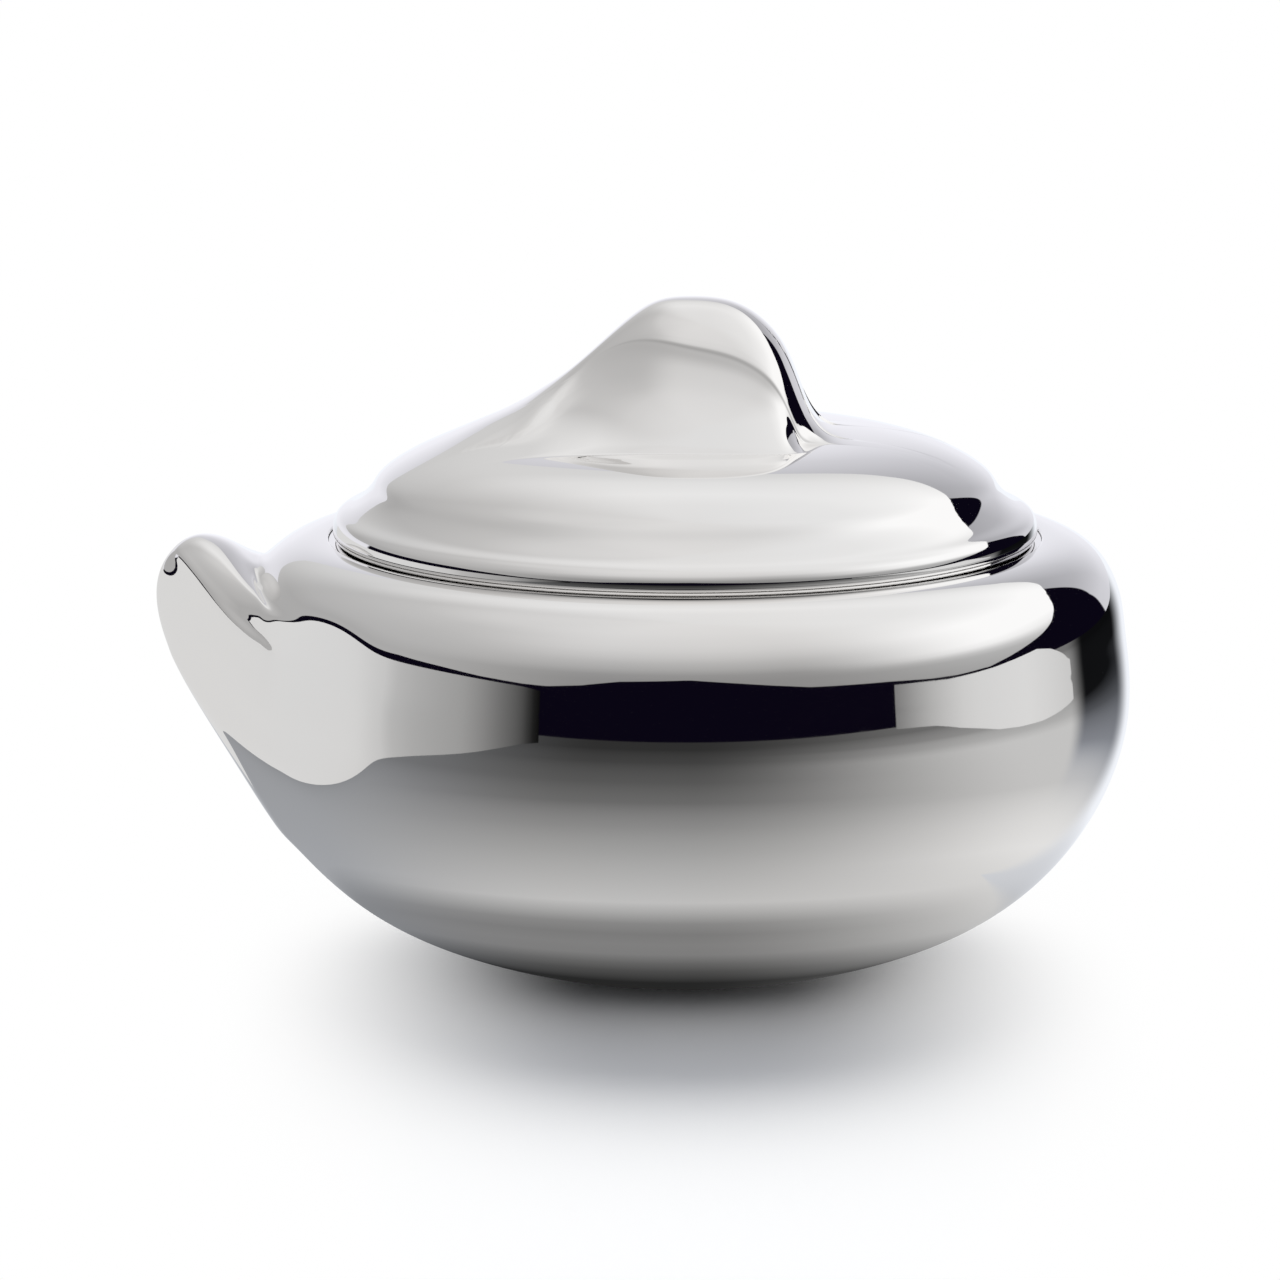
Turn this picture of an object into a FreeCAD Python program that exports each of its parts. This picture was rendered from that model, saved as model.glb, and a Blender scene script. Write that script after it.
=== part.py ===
"""Covered serving pot in polished silver: a double-walled round pot with one pinched wing,
a loose seat ring and a domed lid with a pinched grip.

Millimetres. Z is up, the pot stands on Z = 0 with its axis on the Z axis, and the wing points to -X.
The whole object is mirrored about the plane Y = 0.
"""
import os
import math

import FreeCAD
import Part

V = FreeCAD.Vector

# Gauge of every spun or pressed skin.
SKIN = 1.0
CHORD = 4.0                 # chord that smooths the inner face of the pressed lid top

# Outer wall of the pot: poles (radius, height) of one cubic B-spline from the base edge to the mouth.
BODY_POLES = [
    (34.0, 0.0), (38.8, 0.0), (73.3, 7.8), (100.4, 32.6), (111.85, 61.6),
    (108.3, 84.7), (108.0, 95.0), (99.9, 106.86), (88.0, 106.86),
]
SEAM_HEIGHT = 68.8          # the belly seam, at the widest line

# Wing: the crest line (radius, height) from the bowl, up the straight leading edge,
# round the tip and back down to the shoulder.
WING_FOOT_HEIGHT = 22.0     # where the crest leaves the bowl
WING_ROOT_RADIUS = 97.0     # where the crest meets the shoulder
WING_CREST = [
    (98.8, 30.4), (111.8, 52.0), (121.7, 67.3), (129.1, 80.7), (131.6, 94.6),
    (127.3, 103.5), (120.2, 108.1), (111.6, 105.1), (107.3, 101.0), (103.3, 100.4),
]
# Height on the plain wall that each crest pole is drawn out from.
WING_ROOTS = [34.0, 46.0, 57.0, 68.0, 78.0, 86.0, 92.0, 96.4, 99.4, 101.6]
WING_TURN = 1.05            # half angle of the wing panel round the axis, in radians
WING_FADE = 0.15            # angle over which the panel settles on the plain wall, in radians
WING_SLOPE = 0.7            # fall of the flat flank per millimetre sideways
WING_EDGE = 3.5             # roundness of the leading edge
WING_FREE = 3.5             # distance of the flank from the wall at the wing's foot
FREE_HEIGHT = 24.0          # height over which the flank comes down to the wall
EDGE_SPREAD = 8.0           # sideways reach of the tip in front of the flank
NOSE_WIDTH = 42.0           # half width of the round nose under the flank
NOSE_LIFT = 4.0             # lift of the nose at the tip, so that the flank decides there
NOSE_LIFT_WIDTH = 20.0
ROOF_WIDTH = 26.0           # half width of the round roof over the flank
ROOF_TURN = 0.12            # share of the crest over which the nose becomes the roof
SADDLE_WIDTH = 13.0         # half width of the saddle between the roof and the shoulder
SADDLE_LOW = 93.0
SADDLE_HIGH = 99.0
CREST_WIDTH = 9.0           # half width of the strip that follows the crest exactly
DISH_DEPTH = 3.3            # depth of the finger dish that the flank cuts into the wall
DISH_LOW = 45.0             # height where the dish starts
DISH_HIGH = 67.0            # height where it is fully deep
DISH_TOP = 78.0             # height above which the flank stands straight
DISH_LEAN = 0.1             # lean of the flank above that height
DISH_ROUND = 0.8            # roundness of the dish's edge

# Base.
PLATE_RADIUS = 33.9
PLATE_THICK = 1.6
VENT_RADIUS = 2.5
VENT_OFFSET = 18.0

# Liner: poles (radius, height) of its outer face from the middle of the floor to the neck.
# It is spun as a floor dish, a wall and a neck ring, soldered together.
LINER_POLES = [
    (0.0, 7.0), (36.0, 7.0), (68.0, 12.5), (94.5, 35.0), (106.5, 62.0),
    (102.8, 83.0), (102.5, 92.0), (95.0, 98.4), (79.0, 98.4),
]
LINER_FLOOR = 60.0          # radius of the seam between floor and wall
LINER_BELLY = 64.0          # height of the seam between wall and neck

# Mouth and seat.
BORE = 78.0
GROOVE_IN = 79.5
GROOVE_OUT = 84.5
GROOVE_FLOOR = 103.4
COLLAR_TOP = 106.1
GAP = 0.3                   # clearance round the moving parts
SEAT_TOP = 106.15

# Lid: the dome falls by DOME_FALL * (r / 70) ** DOME_POWER from its height at the axis.
DOME_TOP = 132.8
DOME_FALL = 7.2
DOME_POWER = 5.3
DOME_JOIN = 72.0            # radius where the edge curve takes over from the dome
TOP_RADIUS = 70.0           # seam between the two top halves and the lid shoulder
EDGE_START = 4.2
EDGE_POLES = [(76.5, 119.2), (82.6, 113.4), (87.2, 113.0), (87.2, 106.0), (85.0, 106.5)]
EDGE_SPLIT = 0.56           # place on the edge curve where the shoulder meets the rim
RIM_BOTTOM = 106.5
PAN_RADIUS = 78.5
PAN_EDGE = 107.4
PAN_RISE = 10.0
FLANGE_OUT = 77.4
FLANGE_BOTTOM = 97.0

# Grip: crest line (x, height over the dome), then at each pole the half width of the crest roll, where the
# finger dish runs out on the dome, and the share of the height that the roll takes.
GRIP_CREST = [
    (-72.0, 0.0), (-67.0, 0.0), (-60.0, 0.6), (-52.0, 3.0), (-42.3, 6.2), (-36.3, 10.0),
    (-28.5, 14.9), (-19.0, 23.7), (-8.7, 32.8), (0.0, 33.6), (9.9, 33.2), (17.2, 29.9),
    (24.3, 23.0), (28.0, 13.6), (30.4, 6.6), (34.5, 0.8), (40.0, 0.0), (52.0, 0.0), (72.0, 0.0),
]
GRIP_DISH = [20.0, 20.0, 20.0, 20.0, 20.5, 18.0, 3.0, 5.0, 13.5, 17.0,
             18.4, 19.2, 20.0, 20.0, 19.0, 18.0, 18.0, 18.0, 18.0]
GRIP_FOOT = [32.0, 32.0, 32.0, 32.5, 33.0, 33.5, 34.0, 34.5, 35.2, 35.5,
             35.5, 35.0, 33.5, 31.0, 29.0, 28.0, 28.0, 28.0, 28.0]
GRIP_ROLL = [0.7, 0.7, 0.7, 0.7, 0.7, 0.6, 0.05, 0.09, 0.25, 0.32,
             0.36, 0.39, 0.47, 0.95, 1.0, 1.0, 1.0, 1.0, 1.0]
# Section across the grip: shares of the roll, of the dish and of the dome sideways, then the heights
# of the roll and of the dish.
SECTION_ROLL = [0.0, 0.131, 0.354, 0.729, 0.924, 0.937, 0.982, 0.993, 1.0, 1.0, 1.0,
                1.0, 1.0, 1.0, 1.0, 1.0, 1.0, 1.0, 1.0, 1.0, 1.0, 1.0]
SECTION_DISH = [0.0, 0.0, 0.0, 0.0, 0.0, 0.0, 0.0, 0.0, 0.01, 0.059, 0.152,
                0.23, 0.364, 0.554, 0.851, 0.92, 0.994, 1.0, 1.0, 1.0, 1.0, 1.0]
SECTION_DOME = [0.0, 0.0, 0.0, 0.0, 0.0, 0.0, 0.0, 0.0, 0.0, 0.0, 0.0,
                0.0, 0.0, 0.0, 0.0, 0.0, 0.0, 0.007, 0.179, 0.653, 0.856, 1.0]
ROLL_RISE = [1.0, 1.0, 0.948, 0.61, 0.257, 0.22, 0.127, 0.034, 0.0, 0.0, 0.0,
             0.0, 0.0, 0.0, 0.0, 0.0, 0.0, 0.0, 0.0, 0.0, 0.0, 0.0]
DISH_RISE = [1.0, 1.0, 1.0, 1.0, 1.0, 1.0, 1.0, 1.0, 0.982, 0.861, 0.712,
             0.594, 0.451, 0.302, 0.112, 0.074, 0.017, 0.0, 0.0, 0.0, 0.0, 0.0]


def spline(poles):
    """Clamped cubic B-spline with even knots through the hull of the poles, as (x, z) in the XZ plane."""
    spans = len(poles) - 3
    knots = [i / spans for i in range(spans + 1)]
    mults = [4] + [1] * (spans - 1) + [4]
    curve = Part.BSplineCurve()
    curve.buildFromPolesMultsKnots([V(a, 0, b) for a, b in poles], mults, knots, False, 3)
    return curve


def normal_of(curve, t):
    """Left-hand normal of a curve in the XZ plane."""
    tangent = curve.tangent(t)[0]
    return V(-tangent.z, 0, tangent.x).normalize()


def find(curve, test, low=0.0, high=1.0):
    """Parameter at which test(point) turns from negative to positive between low and high."""
    for _ in range(60):
        mid = 0.5 * (low + high)
        if test(curve.value(mid)) < 0:
            low = mid
        else:
            high = mid
    return 0.5 * (low + high)


def through(points):
    """Smooth curve through points."""
    curve = Part.BSplineCurve()
    curve.interpolate(points)
    return curve


def band(curve, start, end, thick, count=40):
    """Face between a curve of the XZ plane and its copy moved along the left-hand normal."""
    steps = [start + (end - start) * i / count for i in range(count + 1)]
    outer = curve.copy()
    outer.segment(start, end)
    inner = through([curve.value(t) + normal_of(curve, t) * thick for t in steps])
    ends = [Part.makeLine(inner.value(inner.FirstParameter), curve.value(start)),
            Part.makeLine(curve.value(end), inner.value(inner.LastParameter))]
    wire = Part.Wire(Part.__sortEdges__([outer.toShape(), inner.toShape()] + ends))
    return Part.Face(wire)


def polygon(points):
    """Flat face in the XZ plane from (radius, height) corners."""
    corners = [V(a, 0, b) for a, b in points]
    return Part.Face(Part.makePolygon(corners + corners[:1]))


def turn(face):
    """Solid of revolution of a face of the XZ plane about the Z axis."""
    solid = face.revolve(V(0, 0, 0), V(0, 0, 1), 360)
    return solid


def panel(point, rows, columns, span=0.0):
    """Solid shell one SKIN thick under the surface point(a, b) over a grid of parameters.

    The inner face lies one gauge along the numerical normal, which points to the hollow side. The normal is
    taken from chords at least span long, so that the inner face passes tight creases in a wider curve."""
    def chord(place):
        step = 1e-4
        line = place(step) - place(-step)
        while line.Length < span and step < 0.1:
            step *= 1.5
            line = place(step) - place(-step)
        return line

    def shifted(a, b):
        along = chord(lambda step: point(a + step, b))
        across = chord(lambda step: point(a, b + step))
        return point(a, b) + along.cross(across).normalize() * SKIN

    faces = []
    skins = []
    for place in (point, shifted):
        surface = Part.BSplineSurface()
        surface.interpolate([[place(a, b) for b in columns] for a in rows])
        skins.append(surface)
        faces.append(surface.toShape())
    outer, inner = skins
    u0, u1, v0, v1 = outer.bounds()
    p0, p1, q0, q1 = inner.bounds()
    pairs = [(outer.uIso(u0), inner.uIso(p0)), (outer.uIso(u1), inner.uIso(p1)),
             (outer.vIso(v0), inner.vIso(q0)), (outer.vIso(v1), inner.vIso(q1))]
    for first, second in pairs:
        faces.append(Part.makeRuledSurface(first.toShape(), second.toShape(), 1))
    shell = Part.makeShell(faces)
    shell.sewShape(1e-4)
    solid = Part.Solid(Part.Shell(shell.Faces))
    if solid.Volume < 0:
        solid.reverse()
    return solid


def mirrored(shape):
    """The same shape mirrored about the plane Y = 0."""
    return shape.mirror(V(0, 0, 0), V(0, 1, 0))


def even(low, high, count):
    """Evenly spaced numbers."""
    return [low + (high - low) * i / count for i in range(count + 1)]


body = spline(BODY_POLES)
seam = find(body, lambda p: p.z - SEAM_HEIGHT)
wing_foot = find(body, lambda p: p.z - WING_FOOT_HEIGHT)
wing_root = find(body, lambda p: WING_ROOT_RADIUS - p.x, 0.6, 1.0)

foot_point = body.value(wing_foot)
root_point = body.value(wing_root)
foot_way = body.tangent(wing_foot)[0]
root_way = body.tangent(wing_root)[0]
foot_near = foot_point + foot_way * 8.0
root_near = root_point - root_way * 3.0

crest = spline([(foot_point.x, foot_point.z), (foot_near.x, foot_near.z)] + WING_CREST
               + [(root_near.x, root_near.z), (root_point.x, root_point.z)])
near_foot = find(body, lambda p: p.z - foot_near.z)
near_root = find(body, lambda p: p.z - root_near.z)
root_steps = [find(body, lambda p, h=h: p.z - h) for h in WING_ROOTS]
places = [wing_foot, near_foot] + root_steps + [near_root, wing_root]
track = spline([(t, 0.0) for t in places])


def smooth(value):
    """Smooth step from 0 to 1."""
    value = min(max(value, 0.0), 1.0)
    return value * value * (3.0 - 2.0 * value)


def least(first, second, round_off):
    """Smaller of two values, rounded where they cross."""
    gap = abs(first - second) / round_off
    return min(first, second) - round_off * math.log1p(math.exp(-gap))


wing_tip = max(even(0.0, 1.0, 400), key=lambda a: crest.value(a).x)
dish_wall = body.value(find(body, lambda p: p.z - DISH_TOP)).x - DISH_DEPTH


def flank_foot(wall):
    """Distance of the flat flank from the axis, beside the wall point it belongs to."""
    if wall.z > DISH_TOP:
        return dish_wall - DISH_LEAN * (wall.z - DISH_TOP)
    dent = DISH_DEPTH * smooth((wall.z - DISH_LOW) / (DISH_HIGH - DISH_LOW))
    return wall.x - dent + WING_FREE * (1.0 - smooth((wall.z - WING_FOOT_HEIGHT) / FREE_HEIGHT))


def wing_point(a, b):
    """Wall of the pot drawn out to the wing, at crest parameter a and angle b round the axis (towards -Y).

    A round nose swells from the wall to the crest, and a flat upright flank cuts it off on the side. The flank
    runs on into the wall as the finger dish. Past the tip the nose becomes the roof over the flank."""
    a = min(max(a, 0.0), 1.0)
    wall = body.value(track.value(a).x)
    tip = crest.value(a)
    side = abs(wall.x * math.sin(b))
    plain = wall.x * math.cos(b)
    reach = tip.x - wall.x
    apex = flank_foot(wall) * math.hypot(1.0, WING_SLOPE)
    width = NOSE_WIDTH + (ROOF_WIDTH - NOSE_WIDTH) * smooth((a - wing_tip) / ROOF_TURN)
    width += (SADDLE_WIDTH - width) * smooth((wall.z - SADDLE_LOW) / (SADDLE_HIGH - SADDLE_LOW))
    lift = min(max(tip.x - apex + NOSE_LIFT, 0.0), 1.5 * NOSE_LIFT)
    front = max(tip.x - apex, 0.0)

    def drawn(place, base):
        away = math.hypot(place, WING_EDGE) - WING_EDGE
        flank = apex - WING_SLOPE * away + front * math.exp(-away / EDGE_SPREAD)
        nose = base + reach * math.exp(-(place / width) ** 2) + lift * math.exp(-(place / NOSE_LIFT_WIDTH) ** 2)
        return least(nose, flank, DISH_ROUND) - base

    out = drawn(side, plain) + (reach - drawn(0.0, wall.x)) * math.exp(-(side / CREST_WIDTH) ** 2)
    out *= 1.0 - smooth((abs(b) - WING_TURN + WING_FADE) / WING_FADE)
    climb = min(max((tip.z - wall.z) / max(reach, 0.3), -2.0), 2.0)
    return V(-plain - out, -wall.x * math.sin(b), wall.z + climb * out * smooth(out / 2.0))


def dome_height(radius):
    """Height of the plain dome of the lid."""
    return DOME_TOP - DOME_FALL * (radius / 70.0) ** DOME_POWER


grip_line = spline(GRIP_CREST)
grip_ends = spline(list(zip(GRIP_DISH, GRIP_FOOT)))
grip_roll = spline([(share, 0.0) for share in GRIP_ROLL])
section_roll = spline(list(zip(SECTION_ROLL, ROLL_RISE)))
section_dish = spline(list(zip(SECTION_DISH, DISH_RISE)))
section_dome = spline([(share, 0.0) for share in SECTION_DOME])


def top_point(a, b):
    """Top of the lid at crest parameter a and section parameter b: the dome plus the pinched grip.

    The section goes over the crest roll, down the finger dish and out on the dome."""
    a = min(max(a, 0.0), 1.0)
    b = min(max(b, -1.0), 1.0)
    ridge = grip_line.value(a)
    ends = grip_ends.value(a)
    part = grip_roll.value(a).x
    roll = section_roll.value(abs(b))
    dish = section_dish.value(abs(b))
    side = ends.x * roll.x + (ends.z - ends.x) * dish.x + (DOME_JOIN - ends.z) * section_dome.value(abs(b)).x
    rise = ridge.z * (part * roll.z + (1.0 - part) * dish.z)
    return V(ridge.x, -math.copysign(side, b), dome_height(math.hypot(ridge.x, side)) + rise)


parts = {}

# Outer wall, cut open where the wing panel is let in.
foot_out = normal_of(body, wing_foot) * -3.0
root_out = normal_of(body, wing_root) * -3.0
mouth = Part.Face(Part.makePolygon([
    foot_point + foot_out, foot_point - foot_out, root_point - root_out, root_point + root_out,
    V(150, 0, 125), V(150, 0, 5), foot_point + foot_out]))
far = V(-300 * math.cos(WING_TURN), 300 * math.sin(WING_TURN), -20)
sector = Part.Face(Part.makePolygon([V(0, 0, -20), far, V(far.x, -far.y, -20), V(0, 0, -20)]))
opening = turn(mouth).common(sector.extrude(V(0, 0, 200)))
parts["bowl_skin"] = turn(band(body, 0.0, seam, SKIN)).cut(opening)
parts["shoulder_skin"] = turn(band(body, seam, 1.0, SKIN)).cut(opening)

# Wing halves.
side_steps = [WING_TURN * (0.25 * u + 0.75 * u * u) for u in even(0.0, 1.0, 44)]
wing = panel(wing_point, even(0.0, 1.0, 90), side_steps)
parts["wing_front"] = wing
parts["wing_rear"] = mirrored(wing)

# Base.
vent = Part.makeCylinder(VENT_RADIUS, PLATE_THICK, V(VENT_OFFSET, 0, 0))
parts["base_plate"] = Part.makeCylinder(PLATE_RADIUS, PLATE_THICK).cut(vent)
parts["vent_plug"] = Part.makeCylinder(VENT_RADIUS - 0.05, PLATE_THICK, V(VENT_OFFSET, 0, 0))

# Liner, collar and seat ring.
liner_curve = spline(LINER_POLES)
floor_end = find(liner_curve, lambda p: p.x - LINER_FLOOR, 0.0, 0.6)
wall_end = find(liner_curve, lambda p: p.z - LINER_BELLY)
parts["liner_floor"] = turn(band(liner_curve, 0.0, floor_end, SKIN))
parts["liner_wall"] = turn(band(liner_curve, floor_end, wall_end, SKIN))
parts["liner_neck"] = turn(band(liner_curve, wall_end, 1.0, SKIN))
parts["rim_collar"] = turn(polygon([
    (BORE, 98.5), (BORE, 105.0), (GROOVE_IN, 105.0), (GROOVE_IN, GROOVE_FLOOR),
    (GROOVE_OUT, GROOVE_FLOOR), (GROOVE_OUT, COLLAR_TOP), (87.9, COLLAR_TOP), (87.9, 105.75),
    (91.0, 105.45), (91.0, 103.2), (86.0, 101.6), (82.5, 98.5)]))
parts["seat_ring"] = turn(polygon([
    (GROOVE_IN + GAP, GROOVE_FLOOR + GAP), (GROOVE_OUT - GAP, GROOVE_FLOOR + GAP),
    (GROOVE_OUT - GAP, SEAT_TOP), (GROOVE_IN + GAP, SEAT_TOP)]))

# Lid.
join_slope = -DOME_FALL * DOME_POWER / 70.0 * (DOME_JOIN / 70.0) ** (DOME_POWER - 1.0)
join_height = dome_height(DOME_JOIN)
edge = spline([(DOME_JOIN, join_height), (DOME_JOIN + EDGE_START, join_height + EDGE_START * join_slope)]
              + EDGE_POLES)
rows = even(0.0, 1.0, 40)
reach = [V(r, 0, dome_height(r)) for r in even(TOP_RADIUS - 1.0, DOME_JOIN, 6)]
shoulder_line = through(reach[:-1] + [edge.value(EDGE_SPLIT * t) for t in rows])
top_disc = Part.makeCylinder(TOP_RADIUS, 120, V(0, 0, 80))
shoulder_ring = turn(band(shoulder_line, shoulder_line.FirstParameter, shoulder_line.LastParameter, -SKIN, 60))
parts["lid_shoulder"] = shoulder_ring.cut(top_disc)
rim_curve = edge.copy()
rim_curve.segment(EDGE_SPLIT, 1.0)
split_point = edge.value(EDGE_SPLIT)
split_inner = split_point - normal_of(edge, EDGE_SPLIT) * SKIN
rim_end = edge.value(1.0)
rim_lines = Part.makePolygon([rim_end, V(PAN_RADIUS + 0.1, 0, rim_end.z), V(PAN_RADIUS + 0.1, 0, 110.0),
                              split_inner, split_point])
parts["lid_rim"] = turn(Part.Face(Part.Wire(Part.__sortEdges__([rim_curve.toShape()] + rim_lines.Edges))))

top = panel(top_point, even(0.0, 1.0, 120), even(0.0, 1.0, 66), CHORD)
top = top.common(top_disc)
parts["lid_top_front"] = top
parts["lid_top_rear"] = mirrored(top)

pan_line = Part.BezierCurve()
pan_line.setPoles([V(0, 0, PAN_EDGE + PAN_RISE), V(45, 0, PAN_EDGE + PAN_RISE),
                   V(66, 0, PAN_EDGE), V(PAN_RADIUS, 0, PAN_EDGE)])
parts["lid_pan"] = turn(band(pan_line.toBSpline(), 0.0, 1.0, SKIN))
parts["lid_flange"] = turn(polygon([
    (FLANGE_OUT - SKIN, FLANGE_BOTTOM), (FLANGE_OUT, FLANGE_BOTTOM),
    (FLANGE_OUT, PAN_EDGE), (FLANGE_OUT - SKIN, PAN_EDGE)]))

os.makedirs("parts", exist_ok=True)
for name, shape in parts.items():
    solids = shape.Solids
    if len(solids) != 1:
        raise RuntimeError("%s has %d solids" % (name, len(solids)))
    solid = solids[0]
    if not solid.isValid():
        raise RuntimeError("%s is not a valid solid" % name)
    solid.exportStep("parts/%s.step" % name)
    box = solid.BoundBox
    print("%-14s %9.0f mm3  x %.1f %.1f  y %.1f %.1f  z %.1f %.1f" % (
        name, solid.Volume, box.XMin, box.XMax, box.YMin, box.YMax, box.ZMin, box.ZMax))
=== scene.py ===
"""Covered serving pot in polished silver, dressed for a still-life view.

Every surface is a numpy grid in millimetres, which its mesh turns into metres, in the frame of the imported
part: Z is up, the pot stands on Z = 0, and the wing points to -X.
"""

import bpy
import numpy as np
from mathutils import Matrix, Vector


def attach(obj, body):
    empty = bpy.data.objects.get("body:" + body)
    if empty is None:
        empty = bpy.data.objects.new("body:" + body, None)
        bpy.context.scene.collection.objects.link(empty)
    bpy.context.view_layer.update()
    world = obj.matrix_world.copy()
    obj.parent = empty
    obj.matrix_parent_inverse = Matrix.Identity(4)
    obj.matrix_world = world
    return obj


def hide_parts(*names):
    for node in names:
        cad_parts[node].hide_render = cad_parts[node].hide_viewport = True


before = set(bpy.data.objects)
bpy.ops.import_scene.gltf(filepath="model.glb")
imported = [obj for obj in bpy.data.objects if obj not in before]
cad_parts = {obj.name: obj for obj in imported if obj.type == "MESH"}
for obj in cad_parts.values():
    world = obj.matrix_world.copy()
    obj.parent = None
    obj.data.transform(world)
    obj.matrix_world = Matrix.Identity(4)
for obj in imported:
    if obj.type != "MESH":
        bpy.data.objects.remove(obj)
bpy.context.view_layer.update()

bl_info = {
    "name": "Covered Serving Pot",
    "version": (1, 0, 0),
    "blender": (4, 5, 0),
    "location": "View3D > Sidebar > Serving Pot",
    "description": "Builds a covered serving pot in polished silver from turned and drawn-out surfaces",
    "category": "Add Mesh",
}

# Metres per millimetre, degrees per radian, plain white, and the triangles that a piece stays under.
MM = 0.001
DEGREES = 57.29578
WHITE = (1, 1, 1, 1)
MOST_TRIANGLES = 200000

# Close steps of the tabled curves; a short step along a line, halvings of a search, steps round the lip.
WALL_TABLE, LID_TABLE, RING_TABLE = 6001, 4001, 501
NEARBY, HALVINGS, LIP_STEPS = 1e-4, 24, 6
# Columns of the turned pieces and points of the liner's and the pan's lines.
AROUND, COLLAR_AROUND, PLUG_AROUND = 256, 360, 48
LINER_STEPS, PAN_STEPS = 90, 60
# Eased corners: radii in millimetres, the plate's as a share, the largest cut of an edge, and its support.
COLLAR_EASE, SEAT_EASE, FLANGE_EASE, PLATE_EASE = 0.25, 0.5, 0.3, 0.02
LARGEST_CUT, SUPPORT = 0.3, 0.5

# Outer wall, wing, liner and lid: the same poles as the part's solids, in millimetres (radius, height).
BODY_POLES = [(34, 0), (38.8, 0), (73.3, 7.8), (100.4, 32.6), (111.85, 61.6), (108.3, 84.7), (108, 95),
              (99.9, 106.86), (88, 106.86)]
WING_CREST = [(98.8, 30.4), (111.8, 52.0), (121.7, 67.3), (129.1, 80.7), (131.6, 94.6), (127.3, 103.5),
              (120.2, 108.1), (111.6, 105.1), (107.3, 101.0), (103.3, 100.4)]
WING_ROOTS = [34, 46, 57, 68, 78, 86, 92, 96.4, 99.4, 101.6]
WING_FOOT_HEIGHT = 22.0
WING_ROOT_RADIUS = 97.0
# Wing: length of the crest's handles at its foot and root, the heights where the saddle and the finger dish
# start and over which they come in, and how far and over what height the foot stands free of the dish.
FOOT_HANDLE, ROOT_HANDLE = 8.0, 3.0
SADDLE_START, SADDLE_RUN = 93.0, 6.0
DISH_START, DISH_RUN = 45.0, 22.0
FOOT_FREE, FOOT_RUN = 3.5, 24.0
# Lean of the flank over the dish and reach of its raised edge; start, limit and width of the nose's lift.
FLANK_LEAN, EDGE_REACH = 0.1, 8.0
LIFT_START, LIFT_MOST, LIFT_WIDTH = 4.0, 6.0, 20.0
# Width over which the crest is made exact, steepest climb, the distance over which the climb comes in and
# the smallest step it divides by; then, in radians, where the panel's fade starts and how long it is.
CREST_WIDTH, CLIMB_MOST, CLIMB_RUN, SMALLEST_STEP = 9.0, 2.0, 2.0, 0.3
PANEL_TURN, PANEL_FADE = 0.90, 0.15
# Share of the wall's line past which its radius only falls, share of even columns, outer rows per inner row.
UPPER_WALL, EVEN_COLUMNS, INNER_STEP = 0.6, 0.2, 8
# Liner, collar, seat ring, flange and pan.
LINER_POLES = [(0, 7), (36, 7), (68, 12.5), (94.5, 35), (106.5, 62), (102.8, 83), (102.5, 92), (95, 98.4),
               (79, 98.4)]
LINER_LIP = [(79.1, 98.4), (78.85, 98.75), (78.85, 99.1)]
COLLAR = [(78, 98.5), (78, 105), (79.5, 105), (79.5, 103.4), (84.5, 103.4), (84.5, 106.1), (87.9, 106.1),
          (87.9, 105.75), (91, 105.45), (91, 103.2), (86, 101.6), (82.5, 98.5)]
SEAT = [(79.8, 103.7), (84.2, 103.7), (84.2, 106.15), (79.8, 106.15)]
FLANGE = [(76.4, 97), (77.4, 97), (77.4, 107.4), (76.4, 107.4)]
PAN_POLES = [(0, 117.4), (45, 117.4), (66, 107.4), (78.5, 107.4)]
PAN_EDGE = [(78.3, 107.4), (78.5, 107.6), (78.5, 108.2), (78.3, 108.4)]
PAN_GAUGE = 1.0
# Vent plug: play in its hole, ease and cut of its edges, and the dimple below as (share of radius, height).
PLUG_PLAY, PLUG_EASE, PLUG_CUT = 0.05, 0.06, 0.2
PLUG_DIMPLE = [(0.0, 0.16), (0.5, 0.12), (0.62, 0.02)]
# Lid: the dome falls by DOME_FALL at DOME_RADIUS and meets the edge at DOME_JOIN, with a handle of its own.
# Underneath, a line leads inwards to an inner dome at radii given as first, last and count.
DOME_TOP, DOME_FALL, DOME_POWER, DOME_RADIUS, DOME_JOIN = 132.8, 7.2, 5.3, 70.0, 72.0
EDGE_HANDLE = 4.2
LID_GAUGE = 1.3
LID_UNDERSIDE = [(84.6, 106.5), (80, 106.5), (79, 106.5), (78.6, 106.9), (78.6, 109.5)]
UNDER_RADII = (70.0, 6.0, 12)
# Point under the grip to which the rings shrink, share of even rings, and a share that keeps columns apart.
GRIP_MIDDLE, EVEN_RINGS, APART = (-2.0, 0.0), 0.9, 0.999
EDGE_POLES = [(76.5, 119.2), (82.6, 113.4), (87.2, 113.0), (87.2, 106.0), (85.0, 106.5)]
GRIP_CREST = [(-72, 0), (-67, 0), (-60, 0.6), (-52, 3), (-42.3, 6.2), (-36.3, 10), (-28.5, 14.9),
              (-19, 23.7), (-8.7, 32.8), (0, 33.6), (9.9, 33.2), (17.2, 29.9), (24.3, 23), (28, 13.6),
              (30.4, 6.6), (34.5, 0.8), (40, 0), (52, 0), (72, 0)]
# Along the grip: where the finger dish starts, where it runs out, and the share of the height above it.
GRIP_DISH = [20, 20, 20, 20, 20.5, 18, 3, 5, 13.5, 17, 18.4, 19.2, 20, 20, 19, 18, 18, 18, 18]
GRIP_FOOT = [32, 32, 32, 32.5, 33, 33.5, 34, 34.5, 35.2, 35.5, 35.5, 35, 33.5, 31, 29, 28, 28, 28, 28]
GRIP_ROLL = [0.7, 0.7, 0.7, 0.7, 0.7, 0.6, 0.05, 0.09, 0.25, 0.32, 0.36, 0.39, 0.47, 0.95, 1, 1, 1, 1, 1]
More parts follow.
